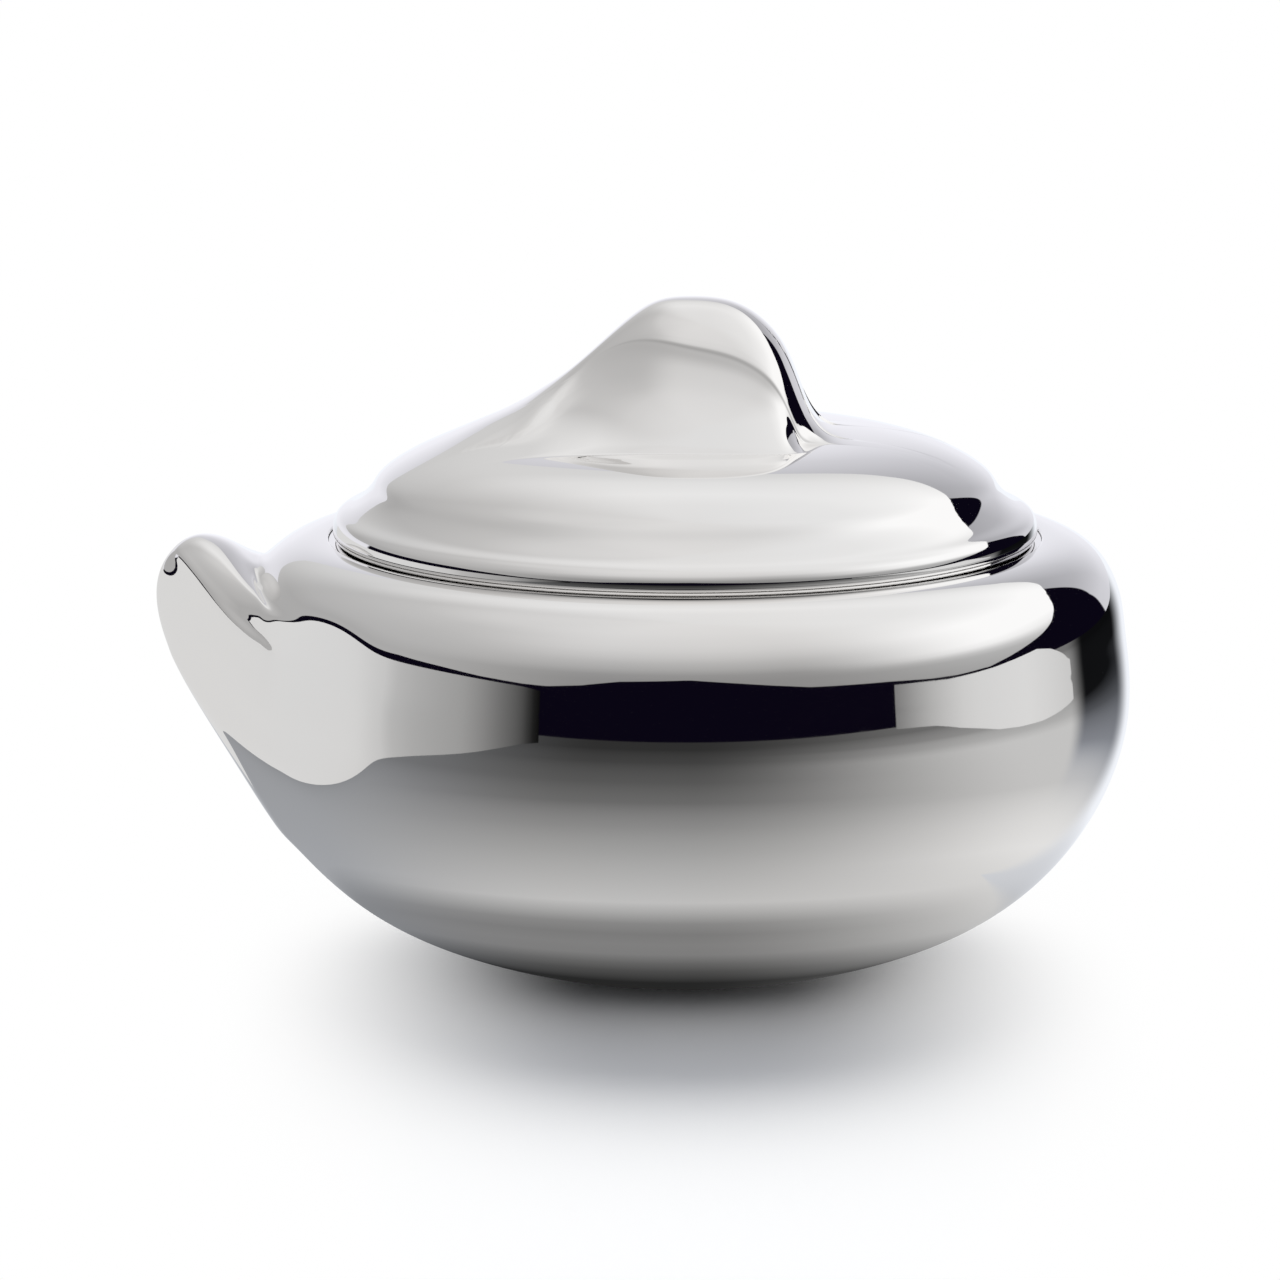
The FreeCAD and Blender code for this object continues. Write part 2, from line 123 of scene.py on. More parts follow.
# Across the grip: sideways shares of the crest roll, the dish and the dome, then heights of roll and dish.
SECTION_ROLL = [0, 0.131, 0.354, 0.729, 0.924, 0.937, 0.982, 0.993, 1, 1, 1, 1, 1, 1, 1, 1, 1, 1, 1, 1, 1,
                1]
SECTION_DISH = [0, 0, 0, 0, 0, 0, 0, 0, 0.01, 0.059, 0.152, 0.23, 0.364, 0.554, 0.851, 0.92, 0.994, 1, 1, 1,
                1, 1]
SECTION_DOME = [0, 0, 0, 0, 0, 0, 0, 0, 0, 0, 0, 0, 0, 0, 0, 0, 0, 0.007, 0.179, 0.653, 0.856, 1]
ROLL_RISE = [1, 1, 0.948, 0.61, 0.257, 0.22, 0.127, 0.034, 0, 0, 0, 0, 0, 0, 0, 0, 0, 0, 0, 0, 0, 0]
DISH_RISE = [1, 1, 1, 1, 1, 1, 1, 1, 0.982, 0.861, 0.712, 0.594, 0.451, 0.302, 0.112, 0.074, 0.017, 0, 0, 0,
             0, 0]

# Finishes: noise scales per metre, middle of a noise's range, heights in metres, shade of the silicone.
DRIFT_SCALE, WAVE_SCALE, VEIL_SCALE, BUFFING_SCALE = 14.0, 26.0, 180.0, (220.0, 220.0, 2600.0)
CLOSE_RINGS, COARSE_RINGS, RING_CLOUD = 2400.0, 420.0, 24.0
GRAIN_SCALE, STAIN_SCALE = 1800.0, 90.0
NOISE_MIDDLE = (0.3, 0.7)
SATIN_DEPTH, GRAIN_DEPTH = 0.00001, 0.00004
SILICONE_SHADE = 0.65

# Width of the camera's sensor in millimetres.
SENSOR_WIDTH = 36.0

# Studio. Azimuths are in degrees from the front, positive to the right, and elevations in degrees.
# Lower edge of the diffuser overhead as (azimuth, elevation), the elevation that counts as level 1 in its
# ramp, and half the width of the change there.
DIFFUSER_EDGE = [(-180, 30), (-174, 24), (-168, 18), (-158, 13), (-140, 9), (-125, 8.5), (-81, 10.6),
                 (-67, 8.2), (-55, 5.5), (-43, 4.0), (-36, 3.8), (-27, 5.4), (-17, 9), (1, 11), (22, 5.9),
                 (32, 3.9), (43, 3.4), (54, 2.8), (66, 1.5), (75, 1.0), (86, 1.4), (93, 3.6), (98, 5.7),
                 (109, 10.7), (117, 14.8), (122, 18.7), (129, 25), (135, 28.3), (143, 30.4), (165, 32),
                 (180, 30)]
EDGE_SCALE, EDGE_SOFT = 40.0, 0.06
# Levels of the diffuser as (elevation, level), the azimuths over which each side takes over, and tints.
SKY_FRONT = [(0, 0.27), (10, 0.28), (15, 0.31), (21, 0.41), (28, 0.49), (34, 0.58), (40, 0.65), (47, 0.69),
             (66, 0.74), (90, 0.77)]
SKY_RIGHT = [(0, 0.38), (5, 0.43), (9, 0.47), (12, 0.60), (16, 0.92), (20, 1.02), (36, 1.02), (46, 0.92),
             (58, 0.84), (90, 0.77)]
SKY_LEFT = [(0, 0.45), (15, 0.42), (24, 0.47), (38, 0.51), (51, 0.56), (63, 0.66), (90, 0.77)]
SKY_REAR = [(0, 0.62), (32, 0.70), (40, 0.79), (53, 0.85), (65, 0.80), (90, 0.77)]
SKY_RIGHT_TURN, SKY_LEFT_TURN, SKY_REAR_TURN = (25, 95), (20, 85), (138, 176)
SKY_WARM, SKY_PLAIN, SKY_COLD = (1.003, 0.998, 0.998), (1.0, 1.0, 1.003), (0.98, 0.98, 1.045)
# Backdrop: levels by elevation and by azimuth, its left edge, and its right edge, which leans up to LEAN_TOP.
BACKDROP_RISE = [(-12, 1.0), (5, 0.96), (12, 0.84), (20, 0.70), (32, 0.60)]
BACKDROP_TURN = [(-180, 1.0), (-160, 0.9), (-130, 0.85), (140, 0.66), (155, 0.7), (172, 0.92), (180, 1.0)]
BACKDROP_LEFT, BACKDROP_RIGHT = (-127, -125), (145.1, 145.9)
BACKDROP_LEAN, LEAN_TOP = 0.35, 10.0
DARK_ROOM = (0.003, 0.002, 0.007, 1)
# Soft box for matt surfaces: direction, cosines over which it comes in, colour of the fill and of the box.
LAMP_WAY, LAMP_SPREAD = (0.0, 0.62, 0.784), (0.85, 1.0)
FILL_COLOUR, LAMP_COLOUR = (0.437, 0.45, 0.48, 1), (5.4, 5.35, 5.25, 1)
# Half the table's side in metres. Then the table as mirrors see it, a glow with painted light and a painted
# shadow of the pot, dark round its foot and fading towards the room: (distance from the axis in metres,
# level) on each side, the azimuths over which each side takes over, and tints.
TABLE_HALF = 9.0
TABLE_FRONT = [(0.05, 0.02), (0.065, 0.09), (0.076, 0.24), (0.09, 0.20), (0.104, 0.55), (0.121, 0.46),
               (0.141, 0.37), (0.17, 0.27), (0.226, 0.15), (0.331, 0.10), (0.65, 0.055), (1.6, 0.03)]
TABLE_RIGHT = [(0.05, 0.10), (0.075, 0.52), (0.095, 0.66), (0.125, 0.80), (0.15, 0.74), (0.2, 0.58),
               (0.48, 0.58), (0.62, 0.45), (0.8, 0.39), (0.95, 0.30), (2.2, 0.18)]
TABLE_LEFT = [(0.05, 0.03), (0.075, 0.24), (0.09, 0.25), (0.11, 0.38), (0.15, 0.36), (0.24, 0.31),
              (0.36, 0.22), (1.6, 0.2)]
TABLE_BACK = [(0.05, 0.10), (0.078, 0.38), (0.1, 0.62), (0.17, 0.92), (1.6, 0.96)]
TABLE_RIGHT_TURN, TABLE_LEFT_TURN = (0, 88), (20, 95)
TABLE_BACK_RIGHT, TABLE_BACK_LEFT = (150, 176), (122, 172)
TABLE_COOL, TABLE_COLD = (0.97, 1.0, 1.06), (0.95, 1.0, 1.12)
# Painted reflection of the dark room between the right card and the backdrop, a dark strip on the table's
# glow, by distance and bearing from its own point.
STRIP_POINT = (0.1, -0.045, 0.0)
PAINTED_GAP_LEVELS = [(0.0, 0.60), (0.15, 0.40), (0.26, 0.24), (0.39, 0.16), (0.49, 0.085), (0.62, 0.035),
                (0.74, 0.006), (2.0, 0.004)]
STRIP_START, STRIP_REACH = (116, 126), (0.06, 0.26)
STRIP_END, STRIP_BEHIND = (149, 167), (-178, -160)
# Where the table seen directly turns to a plain white glow, painted light that lightens the pot's shadow at
# the
# sides first and leaves a pool in front: factors on X and Y, start and end of the change.
WHITE_GLOW_BOUNDS = (3.8, 0.72, 0.087, 0.444)
# Cards: (x, y, height) in metres along each, and levels by azimuth.
LEFT_CARD = [(-0.14, 0.125, 0.112), (-0.19, 0.105, 0.113), (-0.256, 0.045, 0.115), (-0.33, -0.10, 0.118),
             (-0.505, -0.42, 0.126), (-0.914, -1.054, 0.15), (-1.15, -1.55, 0.15)]
LEFT_CARD_LEVELS = [(-180, 0.72), (-96, 0.72), (-86, 0.68), (-73, 0.59), (-69, 0.49), (-64, 0.43),
                    (-59, 0.385), (-54, 0.345), (-50, 0.27), (-45.6, 0.17), (-41.3, 0.09), (-39, 0.03),
                    (-37.4, 0.004), (180, 0.004)]
RIGHT_CARD = [(4.5, -3.19, 0.225), (3.9, -2.5, 0.19), (3.3, -1.8, 0.155), (2.6, -1.17, 0.123),
              (1.8, -0.68, 0.10), (1.4, -0.46, 0.096), (1.05, -0.24, 0.095), (0.82, -0.11, 0.097),
              (0.74, -0.01, 0.108), (0.71, 0.09, 0.124), (0.735, 0.17, 0.098), (0.76, 0.225, 0.071),
              (0.80, 0.31, 0.033), (0.83, 0.35, 0.024), (0.87, 0.37, 0.0)]
RIGHT_CARD_LEVELS = [(-180, 0.02), (53, 0.18), (57, 0.265), (61, 0.37), (65, 0.47), (69, 0.56), (73, 0.64),
                     (77, 0.68), (84, 0.71), (92, 0.73), (100, 0.69), (115, 0.60), (180, 0.6)]


# Surfaces

def spline(poles, t):
    """Clamped cubic B-spline with even knots: each point is the sum of the poles times the basis
    polynomials, which are raised from steps to cubics by the Cox-de Boor recurrence over whole arrays."""
    poles = np.asarray(poles, float)
    count = len(poles)
    knots = np.concatenate([np.zeros(3), np.linspace(0, 1, count - 2), np.ones(3)])
    t = np.clip(np.asarray(t, float), 0, 1 - 1e-12)[..., None]
    weight = ((t >= knots[:-1]) & (t < knots[1:])).astype(float)
    for degree in (1, 2, 3):
        size = len(knots) - 1 - degree
        low, high = knots[:size], knots[degree:degree + size]
        start, end = knots[1:1 + size], knots[degree + 1:degree + 1 + size]
        rise = np.where(high > low, (t - low) / np.where(high > low, high - low, 1), 0)
        fall = np.where(end > start, (end - t) / np.where(end > start, end - start, 1), 0)
        weight = rise * weight[..., :size] + fall * weight[..., 1:size + 1]
    return weight @ poles


def offset(line, distance):
    """A profile moved sideways: each point goes along the left-hand normal of the line through its
    neighbours."""
    way = np.gradient(line, axis=0)
    way /= np.linalg.norm(way, axis=1, keepdims=True)
    return line + distance * np.stack([-way[:, 1], way[:, 0]], 1)


def eased(corners, radius, steps=5):
    """Closed profile with its corners eased: a quadratic curve from a cut before each corner to a cut
    after it, with one support point beyond each cut."""
    corners = np.asarray(corners, float)
    before, after = np.roll(corners, 1, 0) - corners, np.roll(corners, -1, 0) - corners
    long_before = np.linalg.norm(before, axis=1, keepdims=True)
    long_after = np.linalg.norm(after, axis=1, keepdims=True)
    cut = np.minimum(radius, LARGEST_CUT * np.minimum(long_before, long_after))
    start, end = corners + before / long_before * cut, corners + after / long_after * cut
    u = np.linspace(0, 1, steps)[None, :, None]
    bend = (1 - u) ** 2 * start[:, None] + 2 * u * (1 - u) * corners[:, None] + u ** 2 * end[:, None]
    lead = (start + before / long_before * cut * SUPPORT)[:, None]
    trail = (end + after / long_after * cut * SUPPORT)[:, None]
    return np.concatenate([lead, bend, trail], 1).reshape(-1, 2)


def turned(profile, around):
    """Surface of revolution: profile point (r, z) at turn angle a goes to (-r cos a, -r sin a, z)."""
    angle = np.linspace(-np.pi, np.pi, around, endpoint=False)
    radius, height = profile[:, :1], profile[:, 1:]
    return np.stack([-radius * np.cos(angle), -radius * np.sin(angle), height + 0 * angle], -1)


def smooth(value):
    """Smooth step: 0 below 0, 1 above 1, and the cubic 3 v^2 - 2 v^3 between."""
    value = np.clip(value, 0, 1)
    return value * value * (3 - 2 * value)


def most(first, second, ease):
    """Rounded maximum: the larger value plus ease times log(1 + exp(-difference / ease))."""
    return np.maximum(first, second) + ease * np.log1p(np.exp(-np.abs(first - second) / ease))


def least(first, second, ease):
    """Rounded minimum: the rounded maximum of the two values with their signs turned, turned back."""
    return -most(-first, -second, ease)


def between(points, table, values):
    """Value of a tabled curve at each point, by straight lines between the table's close steps."""
    return np.interp(points, table, values)


def wall_rows(sizes, outer=(30, 118, 32), around=432):
    """Outer wall of the pot with its wing, then the lip, then the inner side of the skin.

    Row by row the plain wall point (r, z) is turned round the axis by the angle a, and b = r sin a is
    its distance from the wing's plane. A round nose adds the step from the wall to the crest times
    exp(-(b / width)^2); its width narrows along the roof and again at the saddle. An upright flank falls
    from the wing's edge by the slope times b. The wall takes the smaller of nose and flank, rounded
    where they meet, which leaves the finger dish beside the wing. The crest line is then made exact, and
    everything fades to the plain wall at the side of the panel."""
    t = np.linspace(0, 1, WALL_TABLE)
    line = spline(BODY_POLES, t)
    rising = t > UPPER_WALL
    foot = between(WING_FOOT_HEIGHT, line[:, 1], t)
    root = between(-WING_ROOT_RADIUS, -line[rising, 0], t[rising])
    last = between(-(BODY_POLES[-1][0] + sizes.lip_round), -line[rising, 0], t[rising])
    ends = spline(BODY_POLES, np.array([foot, foot + NEARBY, root, root - NEARBY]))
    foot_way = (ends[1] - ends[0]) / np.linalg.norm(ends[1] - ends[0])
    root_way = (ends[3] - ends[2]) / np.linalg.norm(ends[3] - ends[2])
    foot_near, root_near = ends[0] + FOOT_HANDLE * foot_way, ends[2] + ROOT_HANDLE * root_way
    crest = np.vstack([ends[0], foot_near, WING_CREST, root_near, ends[2]])
    heights = np.concatenate([[foot_near[1]], WING_ROOTS, [root_near[1]]])
    track = np.concatenate([[foot], between(heights, line[:, 1], t), [root]])

    low, mid, top = outer
    share = np.linspace(0, 1, mid)
    drawn = spline(track[:, None], share)[:, 0]
    below, above = np.linspace(0, foot, low, endpoint=False), np.linspace(root, last, top + 1)[1:]
    places = np.concatenate([below, drawn, above])
    wall = spline(BODY_POLES, places)
    step = np.zeros_like(wall)
    step[low:low + mid] = spline(crest, share) - wall[low:low + mid]
    inside = np.zeros((len(wall), 1))
    inside[low:low + mid] = 1.0

    u = np.linspace(-1, 1, around, endpoint=False)
    angle = np.pi * (EVEN_COLUMNS * u + (1 - EVEN_COLUMNS) * u ** 3)
    radius, height = wall[:, :1], wall[:, 1:]
    turn = np.minimum(np.abs(angle), np.pi / 2)
    side, plain = radius * np.sin(turn), radius * np.cos(turn)
    tip = radius + step[:, :1]
    row = np.arange(len(wall))[:, None] - low
    end = np.argmax(tip[low:low + mid])
    roof = smooth((row - end) / (sizes.roof_turn * mid))
    saddle = smooth((height - SADDLE_START) / SADDLE_RUN)
    width = sizes.nose_width + (sizes.roof_width - sizes.nose_width) * roof
    width = width + (sizes.saddle_width - width) * saddle
    dent = sizes.dish_depth * smooth((height - DISH_START) / DISH_RUN)
    straight = spline(BODY_POLES, between(sizes.dish_top, line[:, 1], t))[0] - sizes.dish_depth
    free = FOOT_FREE * (1 - smooth((height - WING_FOOT_HEIGHT) / FOOT_RUN))
    upright = straight - FLANK_LEAN * (height - sizes.dish_top)
    apex = np.where(height < sizes.dish_top, radius - dent + free, upright) * np.hypot(1, sizes.wing_slope)
    away = np.hypot(side, sizes.wing_edge) - sizes.wing_edge
    facet = apex - sizes.wing_slope * away + np.maximum(tip - apex, 0) * np.exp(-away / EDGE_REACH)
    lift = np.clip(tip - apex + LIFT_START, 0, LIFT_MOST)
    nose = plain + step[:, :1] * np.exp(-(side / width) ** 2) + lift * np.exp(-(side / LIFT_WIDTH) ** 2)
    drawn_out = least(nose, facet, sizes.dish_round) - plain
    middle = np.argmin(np.abs(angle))
    missing = step[:, :1] - drawn_out[:, middle:middle + 1]
    drawn_out = drawn_out + missing * np.exp(-(side / CREST_WIDTH) ** 2)
    drawn_out = drawn_out * (1 - smooth((turn - PANEL_TURN) / PANEL_FADE)) * inside
    climb = np.clip(step[:, 1:] / np.maximum(step[:, :1], SMALLEST_STEP), -CLIMB_MOST, CLIMB_MOST)
    grid = np.stack([-radius * np.cos(angle) - drawn_out, -radius * np.sin(angle),
                     height + climb * drawn_out * smooth(drawn_out / CLIMB_RUN)], -1)

    along = np.gradient(grid, axis=0)
    across = np.roll(grid, -1, 1) - np.roll(grid, 1, 1)
    normal = np.cross(across, along)
    normal /= np.linalg.norm(normal, axis=-1, keepdims=True)
    inner = (grid - sizes.gauge * normal)[::-INNER_STEP]

    bend = np.linspace(0, np.pi / 2, LIP_STEPS)[1:, None]
    centre = np.array([[BODY_POLES[-1][0] + sizes.lip_round, BODY_POLES[-1][1] - sizes.lip_round]])
    lip = centre + sizes.lip_round * np.hstack([-np.sin(bend), np.cos(bend)])
    lip = np.vstack([lip, [[BODY_POLES[-1][0], BODY_POLES[-1][1] - sizes.gauge]]])
    lip = np.stack([-lip[:, :1] * np.cos(angle), -lip[:, :1] * np.sin(angle), lip[:, 1:] + 0 * angle], -1)
    return np.concatenate([grid, lip, inner], 0)


def dome(radius):
    """Height of the plain lid: the height at the axis less a power of the radius."""
    return DOME_TOP - DOME_FALL * (radius / DOME_RADIUS) ** DOME_POWER


def lid_rows(around=400, rings=150, edge_steps=46):
    """Lid from the middle of the grip outwards, over the edge and back underneath.

    Across the grip a section runs from the crest (share 0) to the dome (share 1): its sideways distance
    is the roll's half width times the roll share, plus the dish's width times the dish share, plus the
    rest of the dome, and its height over the dome is the crest height times the mixed heights of roll
    and dish. Rings shrink the circle of radius DOME_JOIN towards a point under the grip, closer together
    where the section turns fast. The edge spline follows, turned round the axis, and a plain inner dome
    closes the shell."""
    t = np.linspace(0, 1, LID_TABLE)
    crest = spline(GRIP_CREST, t)
    starts, ends, roll = spline(np.stack([GRIP_DISH, GRIP_FOOT, GRIP_ROLL], 1), t).T
    shares = spline(np.stack([SECTION_ROLL, SECTION_DISH, SECTION_DOME, ROLL_RISE, DISH_RISE], 1), t).T

    def section(x, y):
        """Share of the section whose sideways distance is that of the point, found by halving."""
        start, end = (between(x, crest[:, 0], line) for line in (starts, ends))
        low, top = np.zeros_like(x), np.ones_like(x)
        for _ in range(HALVINGS):
            mid = 0.5 * (low + top)
            first, second, third = (between(mid, t, line) for line in shares[:3])
            short = start * first + (end - start) * second + (DOME_JOIN - end) * third < np.abs(y)
            low, top = np.where(short, mid, low), np.where(short, top, mid)
        return low

    def height(x, y):
        """Height of the dome plus the crest height times the mixed heights of roll and dish."""
        place = section(x, y)
        high, part = (between(x, crest[:, 0], line) for line in (crest[:, 1], roll))
        rise, dish = (between(place, t, line) for line in shares[3:])
        return dome(np.hypot(x, y)) + high * (part * rise + (1 - part) * dish)

    angle = np.linspace(-np.pi, np.pi, around, endpoint=False)
    middle = np.array(GRIP_MIDDLE)
    rim = DOME_JOIN * np.stack([-np.cos(angle), -np.sin(angle)], -1)
    fine = np.linspace(0, 1, RING_TABLE)
    trial = middle + fine[:, None, None] * (rim - middle)
    pace = np.maximum.accumulate(section(trial[..., 0], trial[..., 1]), 0) + EVEN_RINGS * fine[:, None]
    pace = APART * (pace - pace[0]) / (pace[-1] - pace[0]) + np.arange(around)
    wanted = APART * np.linspace(0, 1, rings + 1)[1:, None] + np.arange(around)
    share = between(wanted.T.ravel(), pace.T.ravel(), np.tile(fine, around)).reshape(around, rings).T
    place = middle + share[..., None] * (rim - middle)
    x, y = place[..., 0], place[..., 1]
    top = np.stack([x, y, height(x, y)], -1)
    slope = -DOME_FALL * DOME_POWER / DOME_RADIUS * (DOME_JOIN / DOME_RADIUS) ** (DOME_POWER - 1)
    join = dome(DOME_JOIN)
    start = [(DOME_JOIN, join), (DOME_JOIN + EDGE_HANDLE, join + EDGE_HANDLE * slope)]
    edge = spline(start + EDGE_POLES, np.linspace(0, 1, edge_steps)[1:])
    radius = np.linspace(*UNDER_RADII)
    under = np.vstack([LID_UNDERSIDE, np.stack([radius, dome(radius) - LID_GAUGE], 1)])
    lower = turned(np.vstack([edge, under]), around)
    tip = np.array([[middle[0], middle[1], float(height(*middle))]])
    tail = np.array([[0, 0, DOME_TOP - LID_GAUGE]])
    return np.concatenate([top, lower], 0), tip, tail


def plate_rows(sizes, around=96):
    """Base plate with an off-centre hole: straight lines run from the hole's circle to the plate's
    circle, over the top, round the edge and back underneath, so the section is one closed loop."""
    angle = np.linspace(-np.pi, np.pi, around, endpoint=False)
    turn = np.stack([np.cos(angle), np.sin(angle)], -1)
    hole = sizes.vent_radius * turn + np.array([sizes.vent_offset, 0])
    rim = sizes.plate_radius * turn
    loop = eased([(0, 0), (1, 0), (1, 1), (0, 1)], PLATE_EASE, 4)
    share, rise = loop[:, 0][:, None, None], loop[:, 1][:, None]
    place = hole + share * (rim - hole)
    return np.concatenate([place, (sizes.plate_thick * rise + 0 * angle)[..., None]], -1)


def surface(name, rows, material, body, nodes, wrap=True, tip=None, tail=None):
    """Mesh of a closed grid: columns always close round, rows either wrap round too or end in fans to
    tip and tail. The signed volume decides which way the faces look."""
    count, around = rows.shape[:2]
    points = rows.reshape(-1, 3)
    corner = np.arange(count * around).reshape(count, around)
    strip = np.vstack([corner, corner[:1]]) if wrap else corner
    here, there = strip[:-1], strip[1:]
    quads = np.stack([here, np.roll(here, -1, 1), np.roll(there, -1, 1), there], -1).reshape(-1, 4)
    fans = np.zeros((0, 3), int)
    if tip is not None:
        pole = np.full(around, len(points))
        points = np.vstack([points, tip])
        fans = np.vstack([fans, np.stack([pole, np.roll(corner[0], -1), corner[0]], -1)])
    if tail is not None:
        pole = np.full(around, len(points))
        points = np.vstack([points, tail])
        fans = np.vstack([fans, np.stack([pole, corner[-1], np.roll(corner[-1], -1)], -1)])
    triangles = np.vstack([quads[:, [0, 1, 2]], quads[:, [0, 2, 3]], fans])
    if len(triangles) >= MOST_TRIANGLES:
        raise RuntimeError("%s has %d triangles" % (name, len(triangles)))
    first, second, third = (points[triangles[:, i]] for i in range(3))
    if np.einsum("ij,ij->", first, np.cross(second, third)) < 0:
        quads, fans = quads[:, ::-1], fans[:, ::-1]
    mesh = bpy.data.meshes.new(name)
    mesh.vertices.add(len(points))
    mesh.vertices.foreach_set("co", (points * MM).astype(np.float32).ravel())
    loops = np.concatenate([quads.ravel(), fans.ravel()]).astype(np.int32)
    fan_starts = 4 * len(quads) + np.arange(len(fans)) * 3
    starts = np.concatenate([np.arange(len(quads)) * 4, fan_starts]).astype(np.int32)
    mesh.loops.add(len(loops))
    mesh.loops.foreach_set("vertex_index", loops)
    mesh.polygons.add(len(starts))
    mesh.polygons.foreach_set("loop_start", starts)
    mesh.polygons.foreach_set("use_smooth", np.ones(len(starts), bool))
    mesh.update(calc_edges=True)
    if mesh.validate():
        raise RuntimeError("%s is not a clean mesh" % name)
    mesh.materials.append(material)
    piece = bpy.data.objects.new(name, mesh)
    bpy.context.scene.collection.objects.link(piece)
    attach(piece, body)
    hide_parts(*nodes)


# Node helpers

class Value:
    """A number on a node socket. Arithmetic with it adds Math nodes to the same tree."""

    def __init__(self, socket):
        self.socket = socket
        self.tree = socket.id_data

    def math(self, operation, *others):
        """Math node with this value as its first input."""
        node = self.tree.nodes.new("ShaderNodeMath")
        node.operation = operation
        for entry, item in zip(node.inputs, (self,) + others):
            if isinstance(item, Value):
                self.tree.links.new(item.socket, entry)
            else:
                entry.default_value = item
        return Value(node.outputs[0])

    def __add__(self, other):
        return self.math("ADD", other)

    def __sub__(self, other):
        return self.math("SUBTRACT", other)

    def __mul__(self, other):
        return self.math("MULTIPLY", other)

    def flipped(self):
        """One less the value."""
        return (self * -1.0) + 1.0

    def smooth(self, low, high):
        """Smooth step from 0 at low to 1 at high."""
        node = self.tree.nodes.new("ShaderNodeMapRange")
        node.interpolation_type = "SMOOTHSTEP"
        node.inputs["From Min"].default_value = low
        node.inputs["From Max"].default_value = high
        self.tree.links.new(self.socket, node.inputs["Value"])
        return Value(node.outputs["Result"])

    def ramp(self, stops, tint=(1.0, 1.0, 1.0)):
        """Colour ramp through (value, level) stops, each level times the tint."""
        low, high = stops[0][0], stops[-1][0]
        span = self.tree.nodes.new("ShaderNodeMapRange")
        span.inputs["From Min"].default_value = low
        span.inputs["From Max"].default_value = high
        self.tree.links.new(self.socket, span.inputs["Value"])
        node = self.tree.nodes.new("ShaderNodeValToRGB")
        elements = node.color_ramp.elements
        while len(elements) < len(stops):
            elements.new(0.5)
        for element, (place, level) in zip(elements, stops):
            element.position = (place - low) / (high - low)
            element.color = [level * part for part in tint] + [1.0]
        self.tree.links.new(span.outputs["Result"], node.inputs["Fac"])
        return node.outputs["Color"]


def put(tree, entry, item):
    """Links a socket or Value to an input, or sets the input to a plain value."""
    if isinstance(item, Value):
        tree.links.new(item.socket, entry)
    elif isinstance(item, bpy.types.NodeSocket):
        tree.links.new(item, entry)
    else:
        entry.default_value = item


def blend(tree, share, first, second, kind="MIX"):
    """Colour mix of two colours by a share."""
    node = tree.nodes.new("ShaderNodeMix")
    node.data_type = "RGBA"
    node.blend_type = kind
    for entry, item in zip((node.inputs[0], node.inputs[6], node.inputs[7]), (share, first, second)):
        put(tree, entry, item)
    return node.outputs[2]


def noise(tree, vector, scale, detail=2.0, roughness=0.5):
    """Noise texture value at a vector."""
    node = tree.nodes.new("ShaderNodeTexNoise")
    node.inputs["Scale"].default_value = scale
    node.inputs["Detail"].default_value = detail
    node.inputs["Roughness"].default_value = roughness
    tree.links.new(vector, node.inputs["Vector"])
    return Value(node.outputs["Fac"])


def new_group(name, inputs, outputs):
    """Empty shader node group with its sockets; returns the tree, its input node and its output node."""
    tree = bpy.data.node_groups.new(name, "ShaderNodeTree")
    for title, kind, default in inputs:
        entry = tree.interface.new_socket(name=title, in_out="INPUT", socket_type=kind)
        if default is not None:
            entry.default_value = default
    for title, kind in outputs:
        tree.interface.new_socket(name=title, in_out="OUTPUT", socket_type=kind)
    return tree, tree.nodes.new("NodeGroupInput"), tree.nodes.new("NodeGroupOutput")


def hand_polish_group():
    """Hand-raised and buffed metal: slow waves as height, a faint cool to warm drift of colour, and a
    thin veil of fine buffing in roughness."""
    found = bpy.data.node_groups.get("hand_polish")
    if found:
        return found
    tree, source, sink = new_group(
        "hand_polish",
        [("Vector", "NodeSocketVector", None), ("Cool", "NodeSocketColor", (0.95, 0.95, 0.96, 1)),
         ("Warm", "NodeSocketColor", (0.96, 0.945, 0.92, 1)), ("Roughness", "NodeSocketFloat", 0.03)],
        [("Color", "NodeSocketColor"), ("Roughness", "NodeSocketFloat"), ("Height", "NodeSocketFloat")])
    vector = source.outputs["Vector"]
    drift = noise(tree, vector, DRIFT_SCALE, 1.0).smooth(*NOISE_MIDDLE)
    waves = noise(tree, vector, WAVE_SCALE, 1.0, 0.3)
    veil = noise(tree, vector, VEIL_SCALE, 3.0, 0.6).smooth(0.35, 0.75)
    lines = tree.nodes.new("ShaderNodeMapping")
    lines.inputs["Scale"].default_value = BUFFING_SCALE
    tree.links.new(vector, lines.inputs["Vector"])
    buffing = noise(tree, lines.outputs["Vector"], 1.0, 2.0, 0.6).smooth(0.45, 0.8)
    rough = Value(source.outputs["Roughness"]) * ((veil * 0.35) + (buffing * 0.3) + 0.75)
    colour = blend(tree, drift, source.outputs["Cool"], source.outputs["Warm"])
    tree.links.new(colour, sink.inputs["Color"])
    put(tree, sink.inputs["Roughness"], rough)
    put(tree, sink.inputs["Height"], waves)
    return tree


